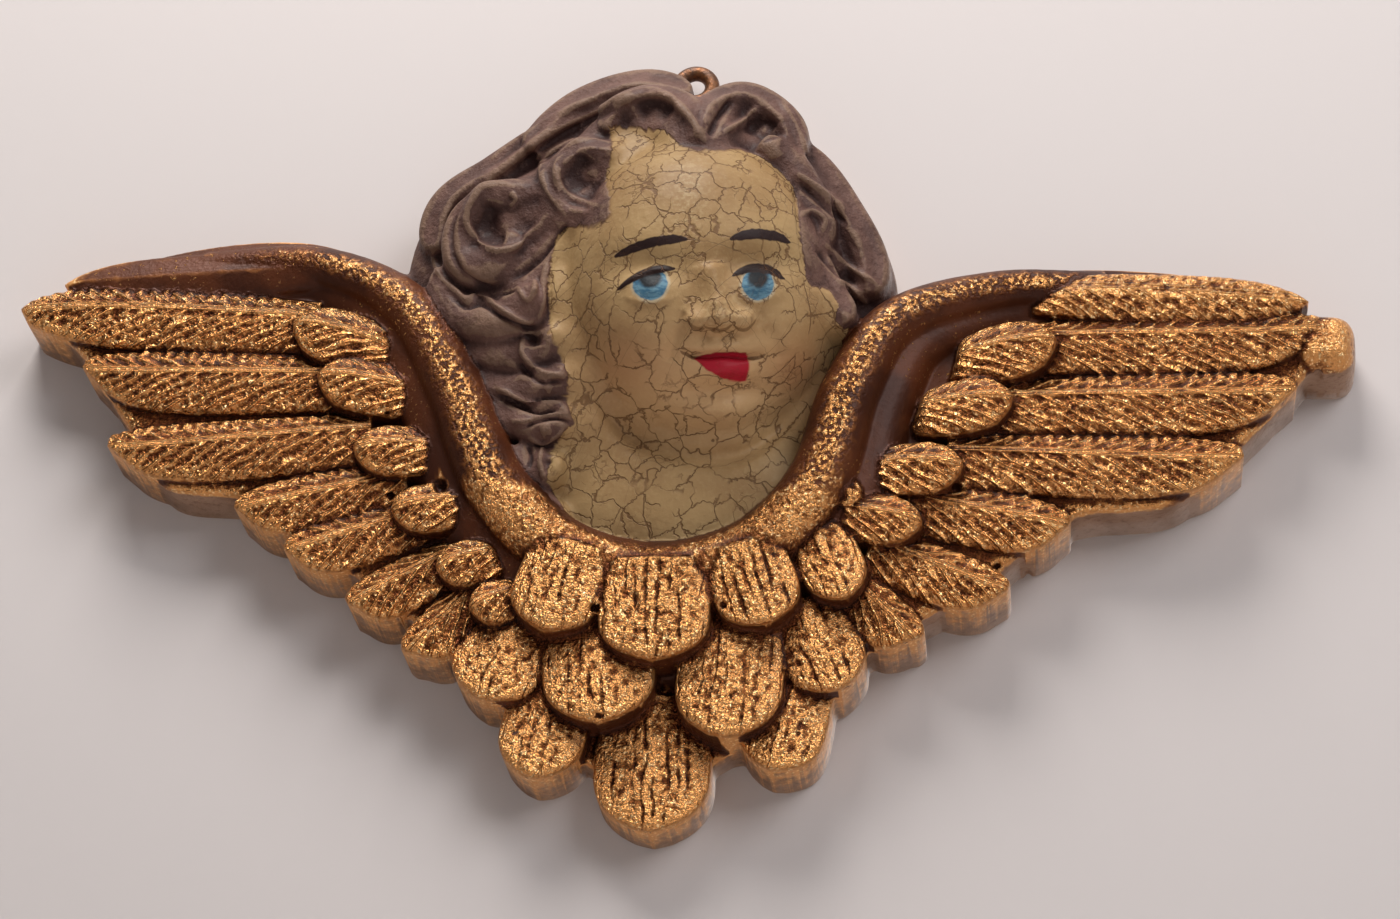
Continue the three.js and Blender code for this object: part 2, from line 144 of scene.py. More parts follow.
BREAST_POINT = -98.0     # lowest z of the plate
WING_BODY = [[-81, -36.5], [-72, -29.3], [-50, -25.3], [-36, -29.5], [-10, -40], [26, -33],
             [38, -29], [56, -27.6], [71, -29.8], [81, -36.5], [77.5, -44], [70, -53], [63, -60],
             [50, -62.5], [40, -71.5], [30, -78], [20, -85.5], [11, -93], [1, -98], [-10, -93.5],
             [-19, -86], [-27, -80], [-36, -73.5], [-44, -67.5], [-52, -62.5], [-63, -61],
             [-67.5, -55], [-75.5, -44]]
HAIR_OUTLINE = [[-35, -33], [-35.2, -25.5], [-32, -18], [-24.5, -12.8], [-17, -7.5], [-9, -3.8],
                [-0.5, -2], [6, -3], [12.5, -5.5], [16.5, -12], [21.5, -18], [26, -24.5],
                [27.5, -33], [20, -44], [-6, -60], [-18, -62], [-27, -46]]
HAIR_MIDDLE = np.array([-4.0, -32.0])
COLLAR_LINE = [[-62, -29.5], [-47, -29.5], [-34.5, -36], [-27, -47.5], [-20.5, -61], [-12, -69],
               [0, -72], [12, -68.5], [19.5, -60], [23, -47], [28, -37.5], [40, -31.8], [54, -30.5]]
COLLAR_RISE = [8.6, 10.0, 12.6, COLLAR_HEIGHT, COLLAR_HEIGHT, 12.7, 12.1, 12.7, COLLAR_HEIGHT,
               COLLAR_HEIGHT, 12.8, 10.4, 9.0]

# Locks of hair: crest line of [x, z, height], width in the middle, and the number of strands
LOCKS = [
    ([[0.5, -7, 15], [-6, -6.2, 15.5], [-13, -8.5, 15], [-20, -15, 14.5]], 8, 2),
    ([[-9.5, -15.5, 19.5], [-7.5, -12.5, 20.5], [-3.5, -11.5, 21.5], [0.5, -13.5, 22.5],
      [3, -18, 23.5]], 6, 2),
    ([[-8, -19.5, 21.5], [-12, -19, 20.5], [-15, -22.5, 19.5], [-13.5, -26.5, 19.5],
      [-9, -28.5, 21]], 5, 2),
    ([[-16.5, -12, 14], [-24, -17.5, 13], [-29.5, -21.5, 12], [-31, -28.5, 11.5]], 8, 2),
    ([[-16.5, -23.5, 18], [-22.5, -23, 17], [-27, -26, 16], [-27, -31, 15.5], [-22.5, -33, 17],
      [-20, -29, 17]], 5, 1),
    ([[-30.5, -31.5, 12], [-27.5, -37, 13.5], [-22, -40, 16], [-16.5, -38, 18.5]], 6, 1),
    ([[-27, -39.5, 11.5], [-22.5, -43.5, 13.5], [-17, -44.5, 15.5], [-13.5, -42.5, 17]], 4.6, 1),
    ([[-24, -45, 11.5], [-19.5, -48.5, 13.5], [-12.5, -47.5, 15.5]], 4.6, 1),
    ([[-21.5, -50.5, 12], [-16.5, -53, 13.5], [-11.5, -52.5, 14]], 4.6, 1),
    ([[-18.5, -56, 11.5], [-15.5, -58.5, 12], [-12, -58, 12]], 5, 1),
    ([[-17, -61, 11], [-14, -63.5, 10.5], [-11.5, -65, 10]], 4, 1),
    ([[3, -18.5, 23.5], [4.5, -12.5, 21.5], [8, -10, 19.5], [12.5, -13, 19], [14.5, -18, 18.5]],
     6.4, 2),
    ([[11, -17, 20.5], [14.5, -20, 19], [17, -24.5, 17.5], [18.5, -30, 15.5]], 5.4, 1),
    ([[14.5, -15, 16], [19.5, -22, 14.5], [23, -28, 13], [24.5, -34, 12]], 7, 2),
    ([[16.5, -30.5, 17], [19, -35.5, 16], [22.5, -39.5, 14.5]], 6, 2),
    ([[-12, -28, 18.5], [-15, -32.5, 17.5], [-13.5, -38, 17.5]], 6, 1),
]

# Modelling of the face and hair, laid on along the line of sight: places and widths are in pixels of
# the reference picture, and rises in millimetres. A swelling is (x, y, half width, half height, rise).
FACE_SWELLINGS = [
    (648, 268, 30, 15, -1.2), (755, 264, 27, 14, -1.2),      # eye sockets
    (650, 286, 18, 12, 1.0), (757, 285, 17, 11, 1.0),        # balls of the eyes
    (646, 243, 34, 14, 0.35), (757, 238, 30, 14, 0.35),      # brows
    (719, 320, 14, 11, 2.5),                                 # tip of the nose
    (693, 323, 8, 8, 1.1), (746, 322, 8, 8, 1.1),            # wings of the nose
    (707, 334, 5, 4, -0.8), (732, 334, 5, 4, -0.8),          # nostrils
    (720, 342, 16, 5, -0.5),                                 # under the nose
    (638, 336, 36, 32, 1.5), (790, 333, 28, 28, 1.5),        # cheeks
    (722, 347, 23, 6, 1.1),                                  # upper lip
    (724, 372, 20, 8, 1.4),                                  # lower lip
    (723, 392, 25, 7, -1.0),                                 # hollow under the lip
    (724, 418, 30, 17, 2.0),                                 # chin
    (818, 312, 10, 20, 0.8),                                 # edge of the ear
]
# A stroke is (points, half width, rise): a groove where the rise is negative.
FACE_STROKES = [
    ([(710, 260), (712, 276), (715, 294), (718, 314)], 13, 1.2),
    ([(617, 291), (630, 279), (650, 270), (674, 269)], 3.5, 0.4),
    ([(732, 277), (745, 269), (760, 268), (781, 280)], 3.5, 0.4),
    ([(622, 297), (638, 303), (654, 304), (672, 298)], 3.5, 0.25),
    ([(735, 293), (748, 302), (764, 302), (778, 295)], 3.5, 0.25),
    ([(680, 353), (703, 357), (722, 356), (742, 358), (765, 356)], 3, -1.0),
    ([(722, 330), (723, 343)], 5, -0.4),
    ([(684, 312), (681, 321), (686, 330)], 4, -0.4),
    ([(758, 311), (760, 320), (754, 329)], 4, -0.4),
    ([(684, 326), (674, 342), (669, 364)], 7, -0.6),
    ([(762, 325), (774, 342), (778, 364)], 7, -0.6),
    ([(592, 398), (636, 438), (688, 455), (745, 452), (802, 412)], 10, -1.5),
]
HAIR_STROKES = [
    # ridges of the long locks along the crown
    ([(639, 92), (599, 111), (550, 133), (507, 166), (464, 198)], 4, 0.5),
    ([(600, 97), (568, 109), (510, 146), (486, 164)], 3, 0.35),
    ([(620, 106), (580, 124), (540, 150), (512, 174)], 4, -0.45),
    # curl beside the temple
    ([(598, 137), (565, 145), (546, 158), (542, 172), (549, 192), (570, 221)], 3.5, 0.5),
    ([(569, 152), (557, 166), (561, 189), (576, 200), (601, 206)], 3.5, 0.55),
    ([(588, 155), (578, 172), (586, 190)], 11, -0.6),
    # large spiral
    ([(522, 187), (499, 185), (482, 191), (470, 207), (467, 225), (474, 238), (486, 248), (501, 251),
      (516, 247), (530, 236), (541, 225), (547, 212)], 4, 0.7),
    ([(492, 200), (488, 216), (495, 234), (506, 236)], 10, -0.8),
    ([(510, 192), (516, 199), (510, 208)], 3, 0.5),
    ([(464, 199), (454, 214), (450, 234), (453, 257), (464, 276), (486, 288), (508, 284)], 4, -0.7),
    ([(510, 281), (538, 259), (561, 233), (569, 225)], 3.5, -0.8),
    # outer lock at the left
    ([(432, 244), (438, 272), (450, 287), (464, 299)], 3, 0.45),
    # leaf-shaped lobe beside the cheek
    ([(448, 285), (465, 300), (481, 296), (496, 306), (524, 321), (538, 321)], 3, 0.6),
    ([(451, 292), (465, 306), (481, 303), (496, 313), (524, 328), (538, 328)], 3, -0.6),
    ([(538, 321), (543, 302), (544, 280), (548, 262)], 3, 0.5),
    ([(551, 322), (550, 300), (551, 276), (556, 250)], 3, -0.9),
    ([(508, 291), (509, 294)], 6, -0.5),
    ([(516, 285), (528, 300), (534, 291), (535, 278)], 2.5, 0.45),
    # small curls down the side
    ([(524, 335), (523, 353), (531, 363), (543, 373), (569, 375)], 3, 0.6),
    ([(532, 333), (533, 346)], 7, -1.1),
    ([(516, 361), (526, 372), (543, 382), (566, 381)], 3, -0.6),
    ([(496, 388), (510, 394), (526, 401), (546, 404), (568, 402)], 3, 0.6),
    ([(496, 394), (516, 403), (540, 411), (566, 409)], 3, -0.9),
    ([(513, 380), (530, 377), (547, 382), (549, 396)], 3, 0.3),
    ([(511, 421), (533, 421), (553, 412), (568, 407)], 2.5, 0.5),
    ([(524, 427), (536, 421), (556, 418), (574, 425)], 2.5, -0.8),
    ([(526, 436), (543, 443), (553, 437), (566, 428)], 2.5, 0.5),
    ([(540, 431), (552, 428)], 6, 0.4),
    ([(529, 445), (531, 455), (529, 468)], 2.5, -0.6),
    ([(543, 446), (540, 463), (546, 481)], 2.5, 0.5),
    ([(552, 458), (553, 474)], 6, -0.9),
    ([(509, 470), (523, 489), (536, 502), (558, 514)], 3, 0.4),
    ([(505, 480), (519, 498), (535, 511), (552, 519)], 3, -0.4),
    # arch over the forehead and the parting
    ([(600, 114), (623, 100), (648, 91), (667, 96), (681, 108), (705, 136)], 4, 0.6),
    ([(635, 112), (655, 104), (672, 116)], 11, -0.5),
    ([(709, 137), (719, 117), (734, 98)], 3.5, -0.7),
    ([(722, 133), (743, 121), (759, 106)], 3.5, 0.7),
    ([(744, 134), (765, 122), (775, 130)], 6, -0.5),
    # locks at the right
    ([(780, 100), (797, 130), (808, 160)], 4, 0.4),
    ([(770, 140), (776, 160)], 8, 0.5),
    ([(795, 172), (820, 190), (846, 212)], 3.5, 0.5),
    ([(797, 182), (822, 203), (850, 226)], 3.5, -0.5),
    ([(799, 215), (812, 211), (824, 220), (820, 236)], 3, 0.4),
    ([(824, 243), (841, 262), (858, 272), (879, 287)], 3, 0.5),
    ([(815, 246), (835, 270), (856, 284)], 3, -0.5),
    ([(835, 279), (856, 291), (868, 305)], 3, 0.4),
    ([(793, 180), (797, 213), (800, 244), (807, 276)], 3, -0.7),
]
# Flesh paint covers what is inside this line.
HAIRLINE = [(609, 127), (628, 128), (650, 128), (664, 131), (675, 141), (686, 149), (700, 151),
            (720, 150), (745, 151), (762, 157), (780, 172), (792, 185), (797, 205), (800, 243),
            (806, 276), (810, 286), (829, 290), (839, 305), (834, 320), (845, 330), (868, 327),
            (900, 340), (880, 480), (700, 640), (560, 530), (566, 512), (546, 481), (553, 450),
            (566, 428), (575, 425), (567, 403), (569, 376), (556, 345), (550, 330), (549, 300),
            (550, 262), (557, 238), (568, 227), (588, 229), (604, 226), (612, 221), (611, 200),
            (606, 180), (612, 150)]
# Air bubbles broken open in the casting: (x, y, radius in pixels)
BUBBLES = [(595, 608, 4), (722, 605, 4), (660, 687, 4), (598, 717, 5), (957, 488, 4), (998, 567, 4),
           (1028, 575, 4), (390, 495, 4), (440, 485, 6), (1318, 375, 4), (387, 414, 3)]

BUBBLE_DEPTH = 0.7
# The head's region, in plan: middle and reach in x, and its lowest z
HEAD_MIDDLE, HEAD_REACH, HEAD_LOW = -2, 42, -76
# Softening of the joins before the modelling: share of the way and rounds
FLESH_SOFT, HAIR_SOFT = (0.6, 36), (0.5, 9)

# Painted features: (left, middle, right) points of a line and its half thickness, in pixels
BROWS = [((614, 257), (646, 244), (688, 239), 5.0), ((730, 239), (758, 234), (791, 242), 5.3)]
LIDS = [((617, 290), (647, 272), (675, 269), 4.0), ((732, 276), (757, 268), (785, 279), 4.6)]
IRISES = [(650, 283, 17.5), (758, 284, 16.0)]
LIP_TOP = ((694, 358), (722, 352), (750, 354))
LIP_LOW = ((694, 358), (714, 374), (750, 381))
# Painted shade in the creases under the nose: (left, middle, right) points of each line
NOSE_SHADE_LINES = [((686, 317), (694, 328), (705, 324)), ((704, 325), (718, 331), (733, 324)),
              ((732, 323), (745, 330), (757, 318))]
NOSE_SHADE_HALF = 1.9
# Painted shade in the corners of the mouth
LIP_CORNER_SHADES = [((680, 351), (689, 356), (701, 358)), ((748, 358), (757, 358), (766, 354))]
LIP_CORNER_SHADE_HALF = 1.8
LIP_END = (749, 366)     # rightmost point of the painted mouth
# Painted shade darkens the forehead above this line.
FOREHEAD_SHADE_LINE = 232      # the flesh is darker above it
# Patches on the face: (x, y, half width, half height, strength). The cheeks thin out the cracks, the
# worn patches are rubbed paint with painted highlight, the lit patch is a painted pool of light, and the
# blushes are paint.
CHEEKS = [(628, 345, 42, 50, 1.0), (792, 340, 30, 40, 1.0)]
WORN_AND_HIGHLIT = [(724, 318, 30, 18, 1.0), (688, 196, 14, 34, 1.0), (724, 405, 26, 12, 1.0)]
# A painted pool of light over the lower face
LIT = [(705, 382, 120, 62, 0.72)]
BLUSHES = [(795, 372, 32, 26, 0.4), (622, 362, 30, 30, 0.3)]

# Where paint lies on the casting: heights z, places x and shares of a normal
GILT_BELOW = -62         # the collar's front is gilded all over below this z
CREST_FADE = (-64, -38)  # the collar's gilding starts between these x
BACK_FACE = 0.7          # the back is bare where a normal's y is above this
KNOB_LEAF, COLLAR_LEAF = 0.7, 0.8

# Paint tones as they look on a screen, 0 to 255, among them tones of painted shade, painted highlight
# and painted glints
TONES = {
    "flesh": (150, 117, 77), "light flesh": (172, 141, 97), "rubbed flesh": (186, 158, 112),
    "painted flesh shade": (116, 82, 50), "worn and highlit flesh": (192, 170, 128), "lit flesh": (210, 168, 122),
    "forehead": (126, 96, 60), "blush": (160, 98, 62), "crack": (92, 58, 32),
    "brow": (40, 22, 20), "eye white": (186, 180, 158), "iris": (58, 98, 122),
    "iris streak": (96, 132, 148), "pupil": (20, 24, 28), "lid": (36, 17, 12),
    "lip corner shade": (92, 60, 36), "nose shade line": (96, 62, 34), "upper lip": (120, 16, 30),
    "lip": (172, 24, 44),
    "hair": (82, 56, 49), "light hair": (108, 78, 68), "painted hair shade": (54, 32, 29),
    "worn and highlit hair": (142, 114, 92), "dusty hair": (120, 92, 82),
    "lacquer": (60, 27, 12), "light lacquer": (88, 44, 21), "bronze": (126, 75, 37),
    "gold": (216, 152, 90), "painted_glint": (254, 216, 158), "loose gold": (206, 148, 84),
    "plaster": (130, 98, 76), "light plaster": (162, 130, 108), "plaster speck": (104, 68, 46),
    "brass": (92, 64, 48), "light brass": (134, 84, 46), "tarnish": (56, 42, 36),
    "wall": (206, 198, 196), "floor": (222, 216, 212),
}

# The stage, in metres: lamps are (name, place, aim, size, power, colour)
STAGE_SIZE = 3.0
WALL_GAP = 0.0004
FLOOR_LEVEL = -0.36
LAMPS = [
    ("key", (-0.06, -0.22, 0.32), (0, 0, -0.04), 0.22, 2.2, (1.0, 0.98, 0.95)),
    ("fill", (0.42, -0.52, 0.24), (0, 0, -0.05), 0.4, 2.2, (0.97, 0.98, 1.0)),
    ("back", (0.2, 0.7, 0.3), (0, 0, -0.05), 0.6, 5.0, (1.0, 1.0, 1.0)),
]
ROOM_COLOUR, ROOM_STRENGTH = (0.9, 0.92, 0.95, 1), 0.16


# Curves

def smooth_line(points, closed=False, steps=12):
    """Points along the centripetal Catmull-Rom curve through the given points."""
    knots = np.array(points, float)
    if closed:
        knots = np.vstack([knots[-1:], knots, knots[:2]])
    else:
        knots = np.vstack([2 * knots[0] - knots[1], knots, 2 * knots[-1] - knots[-2]])
    run = []
    for a, b, c, d in zip(knots, knots[1:], knots[2:], knots[3:]):
        ta, tb, tc = (max(np.linalg.norm(q - p), 1e-6) ** 0.5 for p, q in ((a, b), (b, c), (c, d)))
        leave = ((b - a) / ta - (c - a) / (ta + tb) + (c - b) / tb) * tb
        arrive = ((c - b) / tb - (d - b) / (tb + tc) + (d - c) / tc) * tb
        for share in np.arange(steps) / steps:
            run.append(b + leave * share + (3 * (c - b) - 2 * leave - arrive) * share ** 2
                       + (2 * (b - c) + leave + arrive) * share ** 3)
    if not closed:
        run.append(knots[-2])
    return np.array(run)


def along(stops, share):
    """The place at a share of the way along one or three stops."""
    stops = np.array(stops, float)
    if len(stops) == 1:
        return stops[0]
    place = share * (len(stops) - 1)
    first = min(int(place), len(stops) - 2)
    part = place - first
    a, b, c, d = (stops[min(max(first + step, 0), len(stops) - 1)] for step in (-1, 0, 1, 2))
    leave, arrive = 0.5 * (c - a), 0.5 * (d - b)
    return (b + leave * part + (3 * (c - b) - 2 * leave - arrive) * part ** 2
            + (2 * (b - c) + leave + arrive) * part ** 3)


def eased(value, low, high):
    """0 below low, 1 above high, and a smooth step between."""
    share = np.clip((value - low) / (high - low), 0, 1)
    return share * share * (3 - 2 * share)


# The picture's line of sight

def sight_axes():
    az, el, roll = (math.radians(angle) for angle in (VIEW_AZIMUTH, VIEW_ELEVATION, VIEW_ROLL))
    back = np.array([math.sin(az) * math.cos(el), -math.cos(az) * math.cos(el), math.sin(el)])
    level = np.cross(-back, [0, 0, 1])
    level /= np.linalg.norm(level)
    upright = np.cross(level, -back)
    right = math.cos(roll) * level + math.sin(roll) * upright
    up = -math.sin(roll) * level + math.cos(roll) * upright
    return right, up, back


SIGHT_RIGHT, SIGHT_UP, SIGHT_BACK = sight_axes()
SIGHT_PLACE = VIEW_TARGET + SIGHT_BACK * VIEW_DISTANCE


def seen(points):
    """Where points of the plan fall in the reference picture, in its pixels."""
    offset = points - SIGHT_PLACE
    depth = offset @ -SIGHT_BACK
    scale = VIEW_LENS / VIEW_SENSOR * VIEW_SIZE[0] / depth
    return np.stack([VIEW_SIZE[0] / 2 + scale * (offset @ SIGHT_RIGHT),
                     VIEW_SIZE[1] / 2 - scale * (offset @ SIGHT_UP)], 1)


def reach_of(places, line):
    """Distance from each place to a polyline, and the share of its length that is nearest."""
    line = np.array(line, float)
    nearest, share = np.full(len(places), 1e9), np.zeros(len(places))
    for number, (a, b) in enumerate(zip(line, line[1:])):
        step = b - a
        part = np.clip((places - a) @ step / (step @ step), 0, 1)
        away = np.linalg.norm(places - a - part[:, None] * step, axis=1)
        closer = away < nearest
        nearest[closer] = away[closer]
        share[closer] = (number + part[closer]) / (len(line) - 1)
    return nearest, share


def inside(places, outline):
    """True for places inside a closed outline."""
    outline = np.array(outline, float)
    found = np.zeros(len(places), bool)
    x, y = places.T
    for (ax, ay), (bx, by) in zip(outline, np.roll(outline, -1, axis=0)):
        crosses = (ay > y) != (by > y)
        rise = by - ay if abs(by - ay) > 1e-9 else 1e-9
        found ^= crosses & (x < (bx - ax) * (y - ay) / rise + ax)
    return found


def stroked(places, strokes):
    """Strokes that fade towards both ends."""
    total = np.zeros(len(places))
    for points, half, rise in strokes:
        away, share = reach_of(places, smooth_line(points, steps=4))
        ends = eased(np.minimum(share, 1 - share), -0.05, 0.2)
        total += rise * ends * np.exp(-(away / half) ** 2)
    return total


def swollen(places, swellings):
    total = np.zeros(len(places))
    for x, y, wide, high, rise in swellings:
        across, up = (places[:, 0] - x) / wide, (places[:, 1] - y) / high
        total += rise * np.exp(-0.5 * (across ** 2 + up ** 2))
    return total


# Node trees, written as sums of sockets

class Wire:
    """An output socket of a node tree, which arithmetic extends with Math nodes."""

    def __init__(self, tree, socket):
        self.tree = tree
        self.socket = socket

    def math(self, operation, *others):
        return node_of(self.tree, "ShaderNodeMath", self, *others, operation=operation)

    def vector(self, operation, *others, output=0):
        return node_of(self.tree, "ShaderNodeVectorMath", self, *others, output=output,
                       operation=operation)

    def scaled(self, factor):
        return node_of(self.tree, "ShaderNodeVectorMath", self, at={"Scale": factor}, operation="SCALE")

    def beside(self, *names):
        """Other outputs of the same node."""
        return [Wire(self.tree, self.socket.node.outputs[name]) for name in names]

    def parts(self):
        return node_of(self.tree, "ShaderNodeSeparateXYZ", self).beside(0, 1, 2)

    def eased(self, low, high):
        return node_of(self.tree, "ShaderNodeMapRange", self, low, high, interpolation_type="SMOOTHSTEP")

    def bell(self, half):
        return (-((self / half) ** 2)).math("EXPONENT")

    def __neg__(self):
        return self * -1.0

    def __rsub__(self, other):
        return self * -1.0 + other

    def __abs__(self):
        return self.math("ABSOLUTE")


# The signs of arithmetic between wires and numbers, each of them a Math node
for sign, operation in (("add", "ADD"), ("radd", "ADD"), ("sub", "SUBTRACT"), ("mul", "MULTIPLY"),
                        ("rmul", "MULTIPLY"), ("truediv", "DIVIDE"), ("pow", "POWER"),
                        ("gt", "GREATER_THAN")):
    setattr(Wire, f"__{sign}__", lambda wire, other, kind=operation: wire.math(kind, other))


def plug(tree, value, entry):
    if isinstance(value, Wire):
        tree.links.new(value.socket, entry)
    else:
        entry.default_value = value


def node_of(tree, kind, *values, at=None, output=0, **settings):
    """An output of a new node, whose inputs are given in their order or by name."""
    node = tree.nodes.new(kind)
    for name, value in settings.items():
        setattr(node, name, value)
    for entry, value in zip(node.inputs, values):
        plug(tree, value, entry)
    for name, value in (at or {}).items():
        plug(tree, value, node.inputs[name])
    return Wire(tree, node.outputs[output])


def triple(tree, *values):
    return node_of(tree, "ShaderNodeCombineXYZ", *values)


def grain(place, scale=1.0, detail=2.0, roughness=0.5):
    """Soft noise around 0.5 at a place."""
    return node_of(place.tree, "ShaderNodeTexNoise",
                   at={"Vector": place, "Scale": scale, "Detail": detail, "Roughness": roughness})


def barbs(tree, run, quill, seed):
    """Raised barbs that slant from the quill towards the tip: 1 on a crest, 0 between."""
    slant = math.radians(BARB_SLANT)
    off = abs(quill)
    across = run * math.sin(slant) - off * math.cos(slant)
    lengthwise = run * math.cos(slant) + off * math.sin(slant)
    upper = (quill > 0.0) * 3.7
    sway = grain(triple(tree, across * 0.5, lengthwise * 0.22, seed + upper), 1.0, 1.5, 0.5)
    fade = grain(triple(tree, across * 0.9, lengthwise * 0.25, seed + upper + 40.0), 1.0, 1.0, 0.5)
    phase = (across / BARB_PITCH + sway * 1.3) * (2 * math.pi)
    ridge = (phase.math("COSINE") * 0.5 + 0.5) ** 4.0
    return ridge * fade.eased(0.24, 0.52)


def gouges(tree, run, across, seed):
    """Narrow gouges along a breast feather: 1 in the middle of a gouge, 0 between."""
    sway = grain(triple(tree, across * 0.3, run * 0.3, seed), 1.0, 1.5, 0.5)
    fade = grain(triple(tree, across * 0.9, run * 0.16, seed + 20.0), 1.0, 1.0, 0.5)
    phase = (across / STROKE_PITCH + sway * 1.2) * (2 * math.pi)
    return (phase.math("COSINE") * 0.5 + 0.5) ** 8.0 * fade.eased(0.44, 0.62)


# Growing meshes with Geometry Nodes

SOCKETS = {float: "NodeSocketFloat", int: "NodeSocketInt", tuple: "NodeSocketVector"}


def new_tree(name, sizes):
    """An empty tree with a named input for each size, and those inputs as wires."""
    tree = bpy.data.node_groups.new(name, "GeometryNodeTree")
    tree.interface.new_socket("Geometry", in_out="INPUT", socket_type="NodeSocketGeometry")
    tree.interface.new_socket("Geometry", in_out="OUTPUT", socket_type="NodeSocketGeometry")
    for label, value in sizes.items():
        socket = tree.interface.new_socket(label, in_out="INPUT", socket_type=SOCKETS[type(value)])
        socket.default_value = value
    entry = tree.nodes.new("NodeGroupInput")
    return tree, {output.name: Wire(tree, output) for output in entry.outputs if output.name}


def finished(tree, geometry, position, material):
    """The end of a tree: the mesh's points put in their places, and its material set."""
    moved = node_of(tree, "GeometryNodeSetPosition", at={"Geometry": geometry, "Position": position})
    real = node_of(tree, "GeometryNodeRealizeInstances", moved)
    painted = node_of(tree, "GeometryNodeSetMaterial", real, at={"Material": material})
    plug(tree, painted, tree.nodes.new("NodeGroupOutput").inputs["Geometry"])
    return tree


def new_object(name, data):
    thing = bpy.data.objects.new(name, data)
    bpy.context.scene.collection.objects.link(thing)
    return thing


def grown(tree, sizes, crest=None):
    """The mesh that a tree makes of the given sizes, along a crest curve if it needs one."""
    host = new_object("growing", crest or bpy.data.meshes.new("growing"))
    growth = host.modifiers.new("growth", "NODES")
    growth.node_group = tree
    labels = {item.name: item.identifier for item in tree.interface.items_tree
              if item.in_out == "INPUT"}
    for label, value in sizes.items():
        growth[labels[label]] = value
    bpy.context.view_layer.update()
    depsgraph = bpy.context.evaluated_depsgraph_get()
    mesh = bpy.data.meshes.new_from_object(host.evaluated_get(depsgraph))
    bpy.data.objects.remove(host)
    return mesh


def blade_tree(material):
    """One carved feather: a crowned blade that rises from behind the wall, with a double quill line,
    slanting barbs or gouged strokes, a crumbly ground and notches along its upper rim. Its root can
    fall, be rounded or slant towards the upper edge."""
    tree, size = new_tree("carved_feather", {
        "Steps Along": 90, "Steps Across": 26, "Root": (0.0, 0.0, 0.0), "Tip": (0.0, 0.0, 0.0),
        "Width": 8.0, "Root Rise": 8.0, "Tip Rise": 8.0, "Crown": 0.9, "Upper Edge": 1.0,
        "Tip Lean": 0.0, "Tip Point": 0.72, "Tip Slant": 0.0, "Quill Rise": 0.4, "Barb Depth": 0.3,
        "Stroke Depth": 0.0, "Crumb Depth": 0.1, "Notch Depth": 0.0, "Seed": 0.0,
        "Root Fall": 0.0, "Root Round": 0.0, "Root Slant": 0.0,
    })
    block = node_of(tree, "GeometryNodeMeshCube", at={"Vertices X": size["Steps Along"],
                                                      "Vertices Y": size["Steps Across"]})
    x, y, z = node_of(tree, "GeometryNodeInputPosition").parts()

    reach = 1.0 - (0.5 - x).math("MAXIMUM", 0.0) ** 1.6
    side = y * 2.0
    off = abs(side)
    half_width = size["Width"] * 0.5
    half = half_width * (0.8 + 0.5 * reach - 0.3 * reach ** 2 - size["Tip Point"] * reach ** 7
                         - size["Root Round"] * (1.0 - reach) ** 9)
    step = size["Tip"].vector("SUBTRACT", size["Root"])
    way = step.vector("NORMALIZE")
    lower = 0.5 - side * size["Upper Edge"] * 0.5
    run = (step.vector("LENGTH", output=1) * reach * (1.0 - 0.03 * off)
           - size["Tip Slant"] * half_width * lower * reach ** 6
           + size["Root Slant"] * half_width * (1.0 - lower) * (1.0 - reach) ** 6)
    across = side * half + size["Upper Edge"] * size["Tip Lean"] * half_width * reach ** 6

    quill = (size["Upper Edge"] * across
             - half_width * (QUILL_PLACE * (1.0 - reach ** 4) + size["Tip Lean"] * reach ** 6))
    crumb = grain(triple(tree, run, across, size["Seed"] + 23.0), 0.95, 2.0, 0.6) - 0.5
    notch = (run * (2 * math.pi / NOTCH_PITCH)).math("SINE").eased(-0.2, 0.7)
    upper_rim = (side * size["Upper Edge"]).eased(0.62, 0.85)
    quill_lines = (quill - QUILL_GAP).bell(0.2) + (quill + QUILL_GAP).bell(0.2)

    crown = size["Crown"] * (1.0 - off) * (1.0 - 0.5 * reach ** 4)
    relief = (size["Quill Rise"] * quill_lines * reach.eased(1.0, 0.8)
              + size["Barb Depth"] * (barbs(tree, run, quill, size["Seed"]) - 0.4)
              * abs(quill).eased(0.3, 0.9)
              - size["Stroke Depth"] * gouges(tree, run, across, size["Seed"])
              * off.eased(1.0, 0.8) * reach.eased(0.15, 0.4)
              + size["Crumb Depth"] * 2.0 * crumb
              - size["Notch Depth"] * notch * upper_rim
              - 0.5 * off ** 9 - 0.5 * reach ** 40
              - size["Root Fall"] * (1.0 - reach) ** 14)
    rise = size["Root Rise"] + (size["Tip Rise"] - size["Root Rise"]) * reach + crown + relief
    top = z > 0.0
    depth = (1.0 - top) * BEHIND - top * rise
    way_x, _, way_z = way.parts()
    root_x, _, root_z = size["Root"].parts()
    spot = triple(tree, root_x + way_x * run - way_z * across, depth,
                  root_z + way_z * run + way_x * across)
    return finished(tree, block, spot, material)


